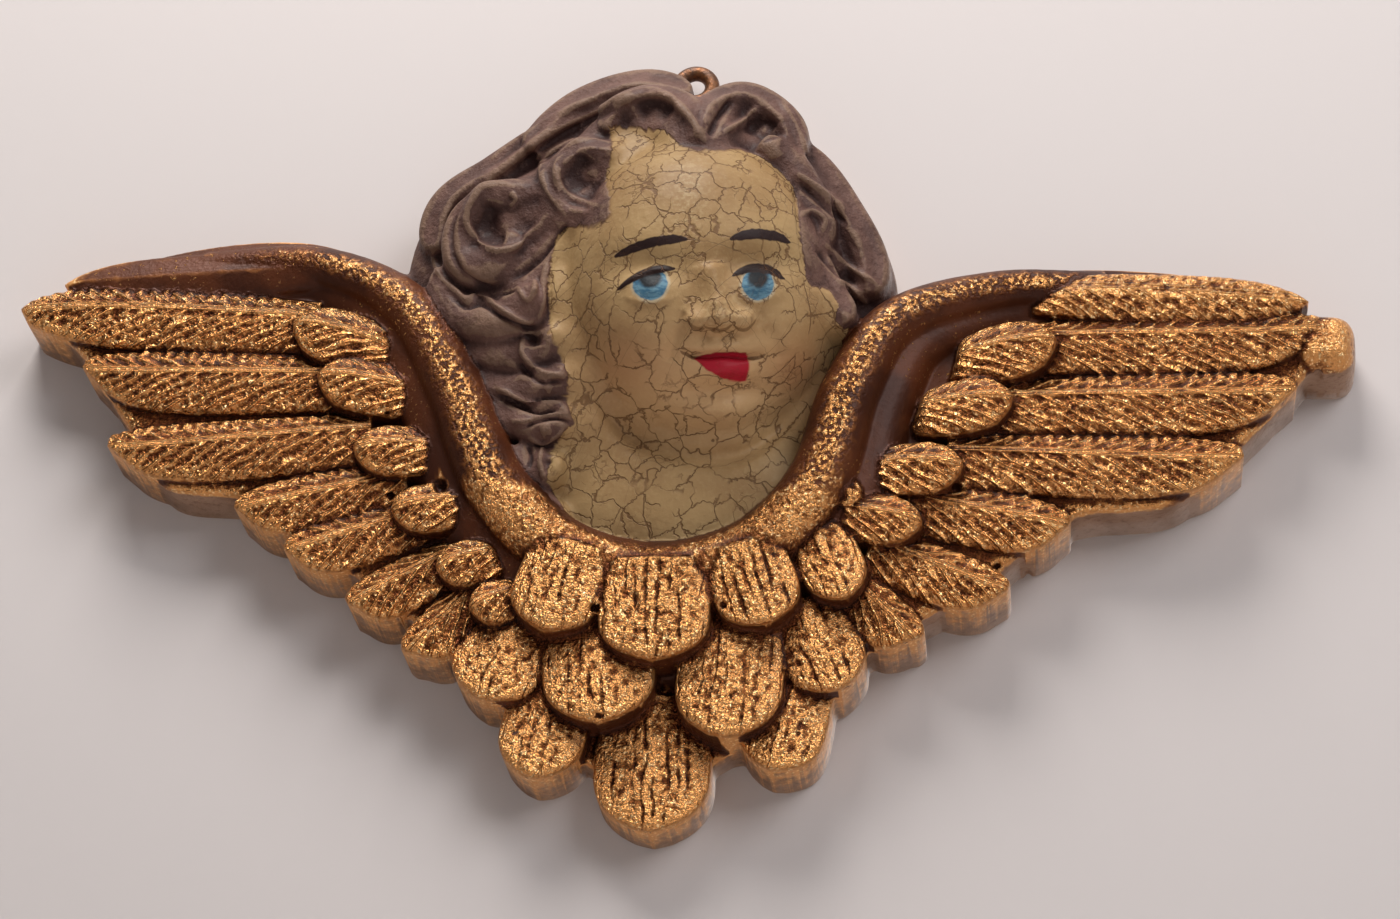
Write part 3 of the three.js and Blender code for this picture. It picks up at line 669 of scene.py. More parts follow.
def strand_tree(material):
    """A rounded strand along the crest line in the host's curve, whose point radius is half its width.
    Strand Count sets how many ridges run along it, and its flanks go down to the foot."""
    tree, size = new_tree("rounded_strand", {
        "Sides": 32, "Steps": 60, "Strand Count": 2.0, "Groove Depth": 0.14, "Crumb Depth": 0.0,
        "Foot": -3.0, "Seed": 0.0,
    })
    drum = node_of(tree, "GeometryNodeMeshCylinder", at={
        "Vertices": size["Sides"], "Side Segments": size["Steps"], "Radius": 1.0, "Depth": 1.0})
    x, y, z = node_of(tree, "GeometryNodeInputPosition").parts()
    share = (z + 0.5).math("MAXIMUM", 0.0).math("MINIMUM", 1.0)
    half = node_of(tree, "GeometryNodeSampleCurve", mode="FACTOR", use_all_curves=True, output="Value",
                   at={"Curves": size["Geometry"], "Factor": share,
                       "Value": node_of(tree, "GeometryNodeInputRadius")})
    middle, tangent = half.beside("Position", "Tangent")

    towards = triple(tree, 0.0, -1.0, 0.0)
    lean = tangent.vector("DOT_PRODUCT", towards, output=1)
    out = towards.vector("SUBTRACT", tangent.scaled(lean)).vector("NORMALIZE")
    side = tangent.vector("CROSS_PRODUCT", out)
    groove = abs(((x + 1.0) * size["Strand Count"] * (math.pi / 2)).math("SINE"))
    wander = grain(triple(tree, share * 5.0, x * 0.7, size["Seed"]), 1.0, 1.0, 0.5) - 0.5
    crumb = grain(middle.vector("ADD", side.scaled(x * half)), 1.0, 2.0, 0.6) - 0.5
    lift = y.math("MAXIMUM", 0.0) * (1.0 - size["Groove Depth"] * 2.0 * groove + 0.16 * wander)
    upper = y > -0.01
    flank = x * upper + x.math("SIGN") * (1.0 - upper) * (abs(x) > 0.01)
    spot = (middle.vector("ADD", out.scaled(half * (lift - 1.0) + crumb * size["Crumb Depth"] * upper))
            .vector("ADD", side.scaled(half * flank)))
    spot_x, spot_y, spot_z = spot.parts()
    footed = triple(tree, spot_x, spot_y * upper + size["Foot"] * (1.0 - upper), spot_z)
    return finished(tree, drum, footed, material)


def crest_curve(points, halves):
    """A curve along crest points [x, z, height] with its half width at each."""
    curve = bpy.data.curves.new("crest", "CURVE")
    curve.dimensions = "3D"
    spline = curve.splines.new("POLY")
    spline.points.add(len(points) - 1)
    for point, (x, z, height), half in zip(spline.points, points, halves):
        point.co = (x, -height, z, 1)
        point.radius = half
    return curve


# Pieces of the casting, in plan coordinates

def feathers(tree):
    """Meshes of all blades, with how each of them lies."""
    meshes, lies = [], []
    for count, roots, tips, width, rise, kind in ROWS:
        for number in range(count):
            share = number / (count - 1) if count > 1 else 0.0
            root, tip = along(roots, share), along(tips, share)
            broad = width[0] + (width[1] - width[0]) * share
            upper = 1.0 if tip[0] > root[0] else -1.0
            length = float(np.linalg.norm(tip - root))
            sizes = {
                "Steps Along": int(length / BLADE_GRID[0]), "Steps Across": int(broad / BLADE_GRID[1]),
                "Root": (root[0], 0.0, root[1]), "Tip": (tip[0], 0.0, tip[1]), "Width": float(broad),
                "Root Rise": float(rise[0]), "Tip Rise": float(rise[1]), "Crown": FEATHER_CROWN,
                "Upper Edge": upper, "Seed": SEED_STEP * len(meshes), **CARVING[kind],
            }
            meshes.append(grown(tree, sizes))
            lies.append((root, (tip - root) / length, length, broad / 2, upper, kind))
    return meshes, lies


def hair_locks(tree):
    meshes = []
    for line, width, count in LOCKS:
        points = smooth_line(line)
        share = np.linspace(0, 1, len(points))
        halves = 0.5 * width * (1 - 0.6 * (2 * share - 1) ** 6)
        sizes = {"Steps": 16 * len(line), "Strand Count": float(count), "Foot": STRAND_FOOT,
                 "Groove Depth": 0.16 if count > 1 else 0.05, "Seed": 3.1 * len(meshes)}
        meshes.append(grown(tree, sizes, crest_curve(points, halves)))
    return meshes


def collar_rolls(tree):
    """The collar's bright roll, and the smooth slope from it down to the feathers."""
    points = smooth_line([[x, z, rise] for (x, z), rise in zip(COLLAR_LINE, COLLAR_RISE)])
    share = np.linspace(0, 1, len(points))
    swell = 0.5 + 0.5 * np.sin(np.pi * share)
    sizes = {"Sides": 40, "Steps": 420, "Strand Count": 1.0, "Groove Depth": 0.0, "Foot": STRAND_FOOT,
             "Crumb Depth": 0.25, "Seed": 2.0}
    roll = grown(tree, sizes, crest_curve(points, 0.5 * COLLAR_WIDTH * swell))
    ahead = np.gradient(points[:, :2], axis=0)
    ahead /= np.linalg.norm(ahead, axis=1)[:, None]
    outward = np.stack([ahead[:, 1], -ahead[:, 0]], 1)
    lower = points.copy()
    lower[:, :2] += outward * (SHOULDER_OUT * swell)[:, None]
    lower[:, 2] -= SHOULDER_DROP * swell
    sizes.update({"Crumb Depth": 0.0, "Steps": 300})
    return roll, grown(tree, sizes, crest_curve(lower, SHOULDER_HALF * swell))


def mesh_of(name, points, faces):
    mesh = bpy.data.meshes.new(name)
    mesh.from_pydata([tuple(point) for point in points], [], faces)
    work = bmesh.new()
    work.from_mesh(mesh)
    bmesh.ops.recalc_face_normals(work, faces=work.faces)
    work.to_mesh(mesh)
    work.free()
    return mesh


def ball(rings, sides):
    """Unit directions of a ball's rings, and the faces that close it."""
    points = [(0.0, 0.0, 1.0)]
    for ring in range(1, rings):
        polar = math.pi * ring / rings
        for step in range(sides):
            turn = 2 * math.pi * step / sides
            points.append((math.sin(polar) * math.cos(turn), math.sin(polar) * math.sin(turn),
                           math.cos(polar)))
    points.append((0.0, 0.0, -1.0))
    last = len(points) - 1
    faces = []
    for step in range(sides):
        after = (step + 1) % sides
        faces.append((0, 1 + step, 1 + after))
        faces.append((last, last - sides + after, last - sides + step))
        for ring in range(rings - 2):
            low, high = 1 + ring * sides, 1 + (ring + 1) * sides
            faces.append((low + step, high + step, high + after, low + after))
    return np.array(points), faces


def breast_share(z):
    """0 on the wings and 1 at the breast's point, where the plate is thinner."""
    return eased(0.75 * BREAST_POINT - z, 0, -0.25 * BREAST_POINT)


def wing_body():
    """Plate of both wings and the breast, with a rounded rim, thinner towards the breast's point."""
    outline = smooth_line(WING_BODY, closed=True, steps=8)
    ahead = np.roll(outline, -1, axis=0) - np.roll(outline, 1, axis=0)
    ahead /= np.linalg.norm(ahead, axis=1)[:, None]
    inward = np.stack([ahead[:, 1], -ahead[:, 0]], 1)
    work = bmesh.new()
    rings = []
    for inset, height in ((0, -BEHIND), (0, WING_THICKNESS - WING_EDGE_ROUND),
                          (0.3 * WING_EDGE_ROUND, WING_THICKNESS - 0.3 * WING_EDGE_ROUND),
                          (WING_EDGE_ROUND, WING_THICKNESS)):
        rings.append([work.verts.new((x, -height, z)) for x, z in outline + inward * inset])
    count = len(outline)
    for lower, upper in zip(rings, rings[1:]):
        for step in range(count):
            after = (step + 1) % count
            work.faces.new((lower[step], lower[after], upper[after], upper[step]))
    work.faces.new(rings[0])
    lid = work.faces.new(rings[-1])
    cut = [lid, *lid.edges, *lid.verts]
    for height in np.arange(BREAST_POINT, 0.6 * BREAST_POINT, 2.0):
        result = bmesh.ops.bisect_plane(work, geom=cut, plane_co=(0, 0, height), plane_no=(0, 0, 1))
        cut = [part for part in result["geom"] if part.is_valid]
    for vertex in work.verts:
        if vertex.co.y < 0:
            thinner = BREAST_THICKNESS / WING_THICKNESS - 1
            vertex.co.y *= 1 + thinner * float(breast_share(vertex.co.z))
    bmesh.ops.triangulate(work, faces=work.faces)
    bmesh.ops.recalc_face_normals(work, faces=work.faces)
    mesh = bpy.data.meshes.new("wing_body")
    work.to_mesh(mesh)
    work.free()
    return mesh


def under_locks(plan):
    """Height of the hair between the locks: a little under their crests, and lower away from them."""
    crests = np.vstack([smooth_line(line, steps=3) for line, _, _ in LOCKS])
    heights = np.empty(len(plan))
    for number, place in enumerate(plan):
        away = np.hypot(*(crests[:, :2] - place).T)
        weight = 1 / (away ** 2 + 1) ** 2
        heights[number] = ((weight @ crests[:, 2]) / weight.sum() - LOCK_SINK
                           - LOCK_FALL * max(0.0, away.min() - 3.5))
    return heights


def hair_mass():
    """Mass of the hair behind the face, which swells from its outline up to the locks."""
    outline = smooth_line(HAIR_OUTLINE, closed=True, steps=16)
    turns = np.arctan2(outline[:, 1] - HAIR_MIDDLE[1], outline[:, 0] - HAIR_MIDDLE[0])
    order = np.argsort(turns)
    points, faces = ball(110, 300)
    turn = np.arctan2(points[:, 1], points[:, 0])
    rim = np.stack([np.interp(turn, turns[order], outline[order, axis], period=2 * math.pi)
                    for axis in (0, 1)], 1)
    spread = np.hypot(points[:, 0], points[:, 1])
    behind = points[:, 2] < -0.01
    spread = np.where(behind, np.minimum(1, 1.6 * spread), spread)
    plan = HAIR_MIDDLE + (rim - HAIR_MIDDLE) * spread[:, None]
    dome = HAIR_EDGE + HAIR_ROUND * points[:, 2]
    swell = under_locks(plan) * np.sqrt((1 - spread ** 6).clip(0, 1))
    height = np.where(behind, -BEHIND, np.maximum(dome, swell))
    return mesh_of("hair_mass", np.stack([plan[:, 0], -height, plan[:, 1]], 1), faces)


def head_axes():
    turn, nod, lean = (math.radians(angle) for angle in (HEAD_TURN, HEAD_NOD, -HEAD_LEAN))
    level = np.array([math.sin(turn), -math.cos(turn), 0])
    across = np.array([math.cos(turn), math.sin(turn), 0])
    above = np.array([0, 0, 1.0])
    forward = level * math.cos(nod) - above * math.sin(nod)
    crown = level * math.sin(nod) + above * math.cos(nod)
    return np.array([across * math.cos(lean) - crown * math.sin(lean),
                     across * math.sin(lean) + crown * math.cos(lean), forward])


def mound(centre, half, axes=np.eye(3), fullness=1.0, rings=48, sides=72):
    """A ball of three half sizes, squarer where its fullness is under 1."""
    points, faces = ball(rings, sides)
    points = np.sign(points) * np.abs(points) ** fullness
    return mesh_of("mound", centre + (points * half) @ axes, faces)


# One skin over all the pieces

def joined(name, meshes):
    """One mesh of loose shells, with the number of the shell that each face came from."""
    points, faces, shells, count = [], [], [], 0
    for number, mesh in enumerate(meshes):
        points.append(rows_of(mesh.vertices, "co"))
        for polygon in mesh.polygons:
            faces.append([count + corner for corner in polygon.vertices])
        shells.append(np.full(len(mesh.polygons), number))
        count += len(mesh.vertices)
    points = np.vstack(points)
    whole = bpy.data.meshes.new(name)
    whole.from_pydata(points.tolist(), [], faces)
    return whole, points, faces, np.concatenate(shells)


def applied(thing, kind, **settings):
    """Applies one modifier to a mesh object."""
    modifier = thing.modifiers.new(kind.lower(), kind)
    for name, value in settings.items():
        setattr(modifier, name, value)
    depsgraph = bpy.context.evaluated_depsgraph_get()
    mesh = bpy.data.meshes.new_from_object(thing.evaluated_get(depsgraph))
    thing.modifiers.clear()
    thing.data = mesh


def rounded(thing, voxel, rounds):
    """Makes one closed skin round loose shells, and smooths it."""
    applied(thing, "REMESH", mode="VOXEL", voxel_size=voxel, adaptivity=0.0)
    applied(thing, "SMOOTH", factor=0.5, iterations=rounds)


def skinned(meshes):
    """A single closed skin around overlapping pieces."""
    whole, *_ = joined("casting", meshes)
    thing = new_object("winged_cherub_head", whole)
    rounded(thing, SKIN_VOXEL, 1)
    return thing


def rows_of(items, field, width=3, kind=np.float32):
    """A field of all vertices or edges, a row for each of them."""
    flat = np.empty(len(items) * width, kind)
    items.foreach_get(field, flat)
    return flat.reshape(-1, width).astype(np.int64 if kind is np.int64 else float)


def shape_of(mesh):
    return (rows_of(mesh.vertices, "co"), rows_of(mesh.vertices, "normal"),
            rows_of(mesh.edges, "vertices", 2, np.int64))


def reshaped(mesh, points):
    mesh.vertices.foreach_set("co", points.astype(np.float32).ravel())
    mesh.update()


def averaged(values, edges, rounds=1):
    """Each value replaced by the mean of its neighbours', so many times."""
    count = len(values)
    degree = np.bincount(edges.ravel(), minlength=count).clip(1)
    flat = values.reshape(count, -1)
    for _ in range(rounds):
        total = np.stack([
            np.bincount(edges[:, 0], column[edges[:, 1]], count)
            + np.bincount(edges[:, 1], column[edges[:, 0]], count) for column in flat.T], 1)
        flat = total / degree[:, None]
    return flat.reshape(values.shape)


def eased_out(points, edges, share, rounds):
    """Points drawn towards their neighbours by a share of the way, so many times."""
    for _ in range(rounds):
        points = points + share[:, None] * (averaged(points, edges) - points)
    return points


def model_head(thing, trees):
    """Softens the head's joins, models the face, draws the hair's ridges and opens the air bubbles."""
    mesh = thing.data
    points, normals, edges = shape_of(mesh)
    in_flesh = inside(seen(points), HAIRLINE)
    near = ((np.abs(points[:, 0] - HEAD_MIDDLE) < HEAD_REACH) & (points[:, 2] > HEAD_LOW)
            & (normals @ SIGHT_BACK > -0.3))
    gilt = np.full(len(points), False)
    collar, head, hair = (distance_to(points[near], trees[name]) for name in ("collar", "head", "hair"))
    gilt[near] = (collar < head) & (collar < hair)
    flesh = averaged((near & in_flesh & ~gilt).astype(float), edges, 3)
    hair = averaged((near & ~in_flesh & ~gilt).astype(float), edges, 3)
    for (share, rounds), where in ((FLESH_SOFT, flesh), (HAIR_SOFT, hair)):
        points = eased_out(points, edges, share * where, rounds)
    reshaped(mesh, points)

    normals, spots = rows_of(mesh.vertices, "normal"), seen(points)
    facing = eased(normals @ SIGHT_BACK, 0.0, 0.35)
    chosen = flesh > 0.01
    face = np.zeros(len(points))
    face[chosen] = swollen(spots[chosen], FACE_SWELLINGS) + stroked(spots[chosen], FACE_STROKES)
    points += (face * flesh * facing)[:, None] * head_axes()[2]
    chosen = hair > 0.01
    lift = np.zeros(len(points))
    lift[chosen] = stroked(spots[chosen], HAIR_STROKES) * hair[chosen]
    for x, y, radius in BUBBLES:
        lift -= BUBBLE_DEPTH * np.exp(-(np.hypot(*(spots - (x, y)).T) / radius) ** 4)
    reshaped(mesh, points + normals * (lift * facing)[:, None])


def tree_of(meshes):
    _, points, faces, shells = joined("source", meshes)
    return BVHTree.FromPolygons(points.tolist(), faces), shells


def distance_to(points, tree):
    return np.array([tree.find_nearest(point)[3] for point in points])


def cut_at_wall(thing):
    """Cuts the casting flat at the wall and closes its back."""
    work = bmesh.new()
    work.from_mesh(thing.data)
    parts = [*work.verts, *work.edges, *work.faces]
    bmesh.ops.bisect_plane(work, geom=parts, plane_co=(0, 0, 0), plane_no=(0, 1, 0), clear_outer=True)
    rim = [edge for edge in work.edges if edge.is_boundary]
    bmesh.ops.holes_fill(work, edges=rim, sides=0)
    flat = [face for face in work.faces if len(face.verts) > 4]
    bmesh.ops.triangulate(work, faces=flat)
    work.normal_update()
    work.to_mesh(thing.data)
    work.free()


def thinned(thing):
    count = sum(len(polygon.vertices) - 2 for polygon in thing.data.polygons)
    if count > SKIN_TRIANGLES:
        applied(thing, "DECIMATE", decimate_type="COLLAPSE", ratio=SKIN_TRIANGLES / count,
                use_collapse_triangulate=True)


def kept(mesh, name, values, kind="FLOAT"):
    layer = mesh.attributes.new(name, kind, "POINT")
    field = {"FLOAT": "value", "FLOAT_VECTOR": "vector"}[kind]
    layer.data.foreach_set(field, values.astype(np.float32).ravel())


def mark_paint(thing, pieces, shells, lies):
    """Notes on each vertex which paint covers it, how hollow it is, how its feather lies, and where
    it falls in the reference picture."""
    mesh = thing.data
    points, normals, edges = shape_of(mesh)
    spots = seen(points)
    reach = np.stack([distance_to(points, tree) for tree in pieces.values()])
    nearest = np.argmin(reach, axis=0)
    part = {name: nearest == number for number, name in enumerate(pieces)}
    facing = normals @ SIGHT_BACK > 0.0
    plan = points[:, [0, 2]]
    in_ring = inside(plan, COLLAR_LINE)

    in_flesh = inside(spots, HAIRLINE)
    masses = part["hair"] | part["head"] | part["neck"] | (part["body"] & in_ring)
    masses &= normals[:, 1] < BACK_FACE
    flesh = masses & in_flesh & (facing | part["head"] | part["neck"])
    hair = masses & ~flesh
    top = WING_THICKNESS + (BREAST_THICKNESS - WING_THICKNESS) * breast_share(points[:, 2])
    bare = eased(top + points[:, 1], 0.3, 1.6) * ~(hair | flesh)
    low_front = (points[:, 2] < GILT_BELOW) & (normals[:, 2] < 0.6) & (normals[:, 1] < -0.2)
    crest = part["collar"] * ((normals[:, 1] < -0.9) | low_front) * eased(points[:, 0], *CREST_FADE)

    leaf = np.zeros(len(points))
    gouged = np.zeros(len(points))
    lie = np.zeros((len(points), 3))
    tree = pieces["feathers"]
    for index in np.nonzero(part["feathers"])[0]:
        number = shells[tree.find_nearest(points[index])[2]]
        root, way, length, half, upper, kind = lies[number]
        offset = plan[index] - root
        run, across = offset @ way, upper * (way[0] * offset[1] - way[1] * offset[0])
        share = min(max(run / length, 0.0), 1.0)
        if kind == "breast":
            gouged[index] = 1.0
        else:
            across -= half * (QUILL_PLACE * (1 - share ** 4) + CARVING[kind]["Tip Lean"] * share ** 6)
        lie[index] = run, across, SEED_STEP * number
        leaf[index] = LEAF.get(kind, 1.0)
    leaf[part["knob"]] = KNOB_LEAF
    leaf[part["collar"] & low_front] = COLLAR_LEAF
    clear = reach[list(pieces).index("collar")] > SHELF_CLEAR
    leaf[part["body"] & clear & (normals[:, 1] < -0.5) & ~in_ring] = 1.0
    leaf *= normals[:, 1] < -0.25
    for name, values, rounds in (("flesh", flesh, 1), ("hair", hair, 1), ("leaf", leaf, 1),
                                 ("crest", crest, 5), ("bare", bare, 3), ("gouged", gouged, 1)):
        kept(mesh, name, averaged(values.astype(float), edges, rounds))
    kept(mesh, "lie", lie, "FLOAT_VECTOR")
    # Hollowness of each vertex, which the paints use for painted shade in the hollows and painted
    # highlight on the ridges
    for name, rounds in (("fine_hollow", 2), ("broad_hollow", 14)):
        kept(mesh, name, np.einsum("ij,ij->i", averaged(points, edges, rounds) - points, normals))
    kept(mesh, "sight", np.column_stack([spots, np.zeros(len(spots))]), "FLOAT_VECTOR")


# Finishes

def tone(name):
    """The linear colour of a named tone."""
    linear = [value / 255 / 12.92 if value < 10.3 else ((value / 255 + 0.055) / 1.055) ** 2.4
              for value in TONES[name]]
    return (*linear, 1.0)


def mixed(share, below, above):
    """One paint over another, each the name of a tone or a wire."""
    below, above = (tone(paint) if isinstance(paint, str) else paint for paint in (below, above))
    return node_of(share.tree, "ShaderNodeMix", at={"Factor": share, 6: below, 7: above}, output=2,
                   data_type="RGBA")


def layered(colour, *layers):
    """A ground with layers of paint over it, each given as the share that it covers and its tone."""
    for share, paint in layers:
        colour = mixed(share, colour, paint)
    return colour


def between(share, below, above):
    """A number that goes from one value to another."""
    return below + share * (above - below)


def note(tree, name, output="Fac"):
    return node_of(tree, "ShaderNodeAttribute", attribute_name=name, output=output)


def shader(name):
    material = bpy.data.materials.new(name)
    material.use_nodes = True
    tree = material.node_tree
    return material, tree, tree.nodes["Principled BSDF"]


def finish(surface, colour, rough, metal, height):
    """Plugs a finish into a shader, with its relief in millimetres."""
    tree = colour.tree
    normal = node_of(tree, "ShaderNodeBump", output="Normal",
                     at={"Distance": MM, "Strength": 1.0, "Height": height})
    for name, value in (("Base Color", colour), ("Roughness", rough), ("Metallic", metal),
                        ("Normal", normal)):
        plug(tree, value, surface.inputs[name])


def millimetres(tree):
    return node_of(tree, "ShaderNodeTexCoord", output="Object").scaled(1 / MM)


def parabola(x, left, middle, right):
    """Height at x of the parabola through three points."""
    curve = np.polyfit([left[0], middle[0], right[0]], [left[1], middle[1], right[1]], 2)
    return x * x * float(curve[0]) + x * float(curve[1]) + float(curve[2])


def painted_line(x, y, left, middle, right, half):
    """A brush line that swells in its middle and ends round."""
    centre, reach = (left[0] + right[0]) / 2, (right[0] - left[0]) / 2
    swell = (1.0 - abs((x - centre) / reach) ** 3).math("MAXIMUM", 0.0) ** 0.5
    off = abs(y - parabola(x, left, middle, right))
    return (swell * half - off).eased(-0.8, 0.8)


def cracks(place, cell, width):
    """Lines between cells of about the given size, 1 in the middle of a line."""
    away = node_of(place.tree, "ShaderNodeTexVoronoi", feature="DISTANCE_TO_EDGE", output="Distance",
                   at={"Vector": place, "Scale": 1 / cell})
    return away.eased(width / cell, 0.15 * width / cell)


def patches(x, y, spots):
    """Soft patches of the picture's plane, added up."""
    total = 0.0
    for across, down, wide, high, strength in spots:
        total = (x - across).bell(wide) * (y - down).bell(high) * strength + total
    return total


def painted_eye(colour, x, y, iris, lid):
    """Paints an eye and its lid over a colour, and returns also the share that its disc covers."""
    cx, cy, radius = iris
    left, middle, right, half = lid
    away = ((x - cx) ** 2 + (y - cy) ** 2) ** 0.5
    under = (y - parabola(x, left, middle, right)).eased(-0.5, 1.0)
    white = (radius + 2.5 - away).eased(-1.5, 1.5) * under * 0.45
    disc = (radius - away).eased(-1.0, 1.0) * under
    streak = grain(triple(x.tree, x * 0.12, y * 0.3, 2.0), 1.0, 2.0, 0.6).eased(0.35, 0.65)
    pupil_away = (((x - cx) * 0.95) ** 2 + (y - cy + 6.0) ** 2) ** 0.5
    pupil = (radius * 0.62 - pupil_away).eased(-2.5, 2.5) * under
    colour = layered(colour, (white, "eye white"), (disc, mixed(streak, "iris", "iris streak")),
                     (pupil, "pupil"), (painted_line(x, y, left, middle, right, half), "lid"))
    return colour, disc


def flesh_paint(tree, place, sight, broad):
    """Tan flesh under crackled varnish, with painted brows, eyes and lips, painted shade in the hollows,
    at the mouth's corners, under the nose and over the forehead, and painted highlight and a painted
    pool of light on the face.
    """
    x, y, _ = sight.parts()
    slow = grain(place, 0.45, 2.0, 0.5) - 0.5
    quick = grain(place, 1.7, 2.0, 0.6) - 0.5
    warped = place.vector("ADD", triple(tree, slow * 2.4 + quick * 0.7, slow * -1.7,
                                        slow * 1.9 - quick * 0.9))
    large = cracks(warped, 3.3, 0.13)
    small = cracks(warped.vector("ADD", triple(tree, 31.0, 7.0, 3.0)), 1.7, 0.09)
    where = grain(place, 0.2, 2.0, 0.5)
    cheeks = patches(x, y, CHEEKS).math("MINIMUM", 1.0)
    line = (large * (where - cheeks * 0.12).eased(0.32, 0.46)
            + small * 0.5 * (where - cheeks * 0.1).eased(0.52, 0.62)).math("MINIMUM", 1.0)

    patch = grain(place, 0.09, 3.0, 0.55)
    speck = grain(place, 1.6, 3.0, 0.6)
    colour = layered("flesh", (patch.eased(0.3, 0.7), "light flesh"),
                     (speck.eased(0.45, 0.75) * 0.3, "rubbed flesh"),
                     # painted shade in the broad hollows of the face
                     (broad.eased(0.1, 0.6) * 0.3, "painted flesh shade"),
                     # rubbed paint and painted highlight at the nose tip, forehead and chin
                     (patches(x, y, WORN_AND_HIGHLIT) * speck.eased(0.46, 0.62) * 0.4, "worn and highlit flesh"),
                     # a painted pool of light over the lower face
                     (patches(x, y, LIT), "lit flesh"),
                     # painted shade over the forehead
                     ((y * -1.0 + FOREHEAD_SHADE_LINE).eased(-50.0, 50.0) * 0.3, "forehead"),
                     (patches(x, y, BLUSHES), "blush"))

    sway = grain(place, 1.2, 1.0, 0.5) - 0.5
    x, y = x + sway * 3.0, y + sway * -3.0
    painted = 0.0
    for left, middle, right, half in BROWS:
        brow = painted_line(x, y, left, middle, right, half)
        colour = mixed(brow, colour, "brow")
        painted = brow + painted
    for iris, lid in zip(IRISES, LIDS):
        colour, disc = painted_eye(colour, x, y, iris, lid)
        painted = disc + painted
    # Painted shade in the mouth's corners
    corner_shades = 0.0
    for left, middle, right in LIP_CORNER_SHADES:
        corner_shades = painted_line(x, y, left, middle, right, LIP_CORNER_SHADE_HALF) + corner_shades
    colour = mixed(corner_shades.math("MINIMUM", 0.7), colour, "lip corner shade")
    # Painted shade lines along the creases under the nose
    for left, middle, right in NOSE_SHADE_LINES:
        crease = painted_line(x, y, left, middle, right, NOSE_SHADE_HALF) * 0.6
        colour = mixed(crease, colour, "nose shade line")
    top, low = parabola(x, *LIP_TOP), parabola(x, *LIP_LOW)
    lips = ((y - top).eased(-1.0, 1.0) * (low - y).eased(-1.2, 1.2)
            * (LIP_END[0] - x - ((y - LIP_END[1]) * 0.12) ** 2).eased(-1.5, 1.5))
    colour = mixed(lips, colour, mixed((y - top).eased(-1.0, 4.0), "upper lip", "lip"))
    line = line * (1.0 - (lips + painted).math("MINIMUM", 1.0) * 0.85)
    colour = mixed(line * 0.7, colour, "crack")
    height = speck * 0.05 - line * 0.1 + patch * 0.1 + grain(place, 0.7, 2.0, 0.5) * 0.12
    return colour, between(speck, 0.68, 0.5), height


def hair_paint(place, fine, broad):
    """Purple-brown paint, pale on the ridges, partly worn and partly painted highlight, and dark in the
    hollows with painted shade.
    """
    patch = grain(place, 0.16, 3.0, 0.6)
    wear = grain(place, 0.8, 4.0, 0.65)
    # Pale crests: worn paint and painted highlight along the convex ridges
    rubbed = (fine * -1.0 + (wear - 0.5) * 0.08).eased(0.014, 0.05)
    colour = layered("hair", (patch.eased(0.35, 0.65), "light hair"),
                     # painted shade in the broad hollows, then worn paint and painted highlight on the
                     # ridges
                     (broad.eased(0.0, 0.3), "painted hair shade"), (rubbed * 0.5, "worn and highlit hair"),
                     (wear.eased(0.54, 0.7) * 0.4, "dusty hair"))
    return colour, between(wear, 0.54, 0.7), wear * 0.45


def gold_paint(tree, place, notes):
    """Bronze paint over red-brown lacquer: brighter on creases and rims, partly rubbed gilding and
    partly painted highlight, with painted glints, and darker in the hollows, where bare lacquer shows
    under painted shade.
    """
    run, across, number = notes["lie"].parts()
    ridges = barbs(tree, run, across, number) * abs(across).eased(0.3, 0.9)
    quill = (across - QUILL_GAP).bell(0.14) + (across + QUILL_GAP).bell(0.14)
    strokes = gouges(tree, run, across, number)
    gouged, leaf, crest = notes["gouged"], notes["leaf"], notes["crest"]
    carving = between(gouged, ridges + quill * 0.9, 0.6 - strokes * 0.6)
    crumb = grain(place, 1.7, 3.0, 0.55)
    foil = (1.0 - abs(grain(place, 0.95, 3.0, 0.65) - 0.5) * 6.0).math("MAXIMUM", 0.0)
    fleck = grain(place, 1.6, 4.0, 0.7)
    gilt = leaf.math("MAXIMUM", crest * crumb.eased(0.36, 0.56))
    # Brightness of the gold: gilding cover, carved ridges and noise, with painted highlight on convex
    # ridges and rims and painted shade in the fine and broad hollows, where lacquer also shows
    shine = (gilt * 0.5 + carving * 0.36 * leaf + (crumb - 0.5) * 1.2 * gilt + foil * 0.2 * gilt
             - notes["fine_hollow"] * 6.0 - notes["broad_hollow"] * 0.5 - gouged * 0.12 - 0.14)
    bright = shine.eased(0.0, 1.0)
    patch = grain(place, 0.12, 3.0, 0.5)
    # Painted glints: bright specks where the gold is brightest
    painted_glint = grain(place, 2.6, 2.0, 0.6).eased(0.56, 0.66) * bright.eased(0.3, 0.6)
    loose = fleck.eased(0.6, 0.68) * (1.0 - gilt) * patch.eased(0.48, 0.62)
    colour = layered("lacquer", (patch.eased(0.35, 0.65), "light lacquer"),
                     (bright.eased(0.0, 0.42), "bronze"), (bright.eased(0.38, 0.9), "gold"),
                     (painted_glint * 0.8, "painted_glint"), (loose, "loose gold"))
    height = (carving * 0.32 * leaf + foil * 0.14 * gilt + crumb * 0.26 * gilt + crumb * 0.06
              + loose * 0.1)
    return colour, between(gilt, 0.46, 0.26), between(gilt.math("MAXIMUM", loose), 0.16, 0.9), height


def bare_plaster(place):
    """Plaster of the sides and back under a thin brown wash."""
    cloud = grain(place, 0.12, 4.0, 0.6)
    speck = grain(place, 1.3, 4.0, 0.65)
    colour = layered("plaster", (cloud.eased(0.35, 0.65), "light plaster"),
                     (speck.eased(0.52, 0.7) * 0.5, "plaster speck"))
    return colour, 0.42 + 0.2 * speck, speck * 0.2


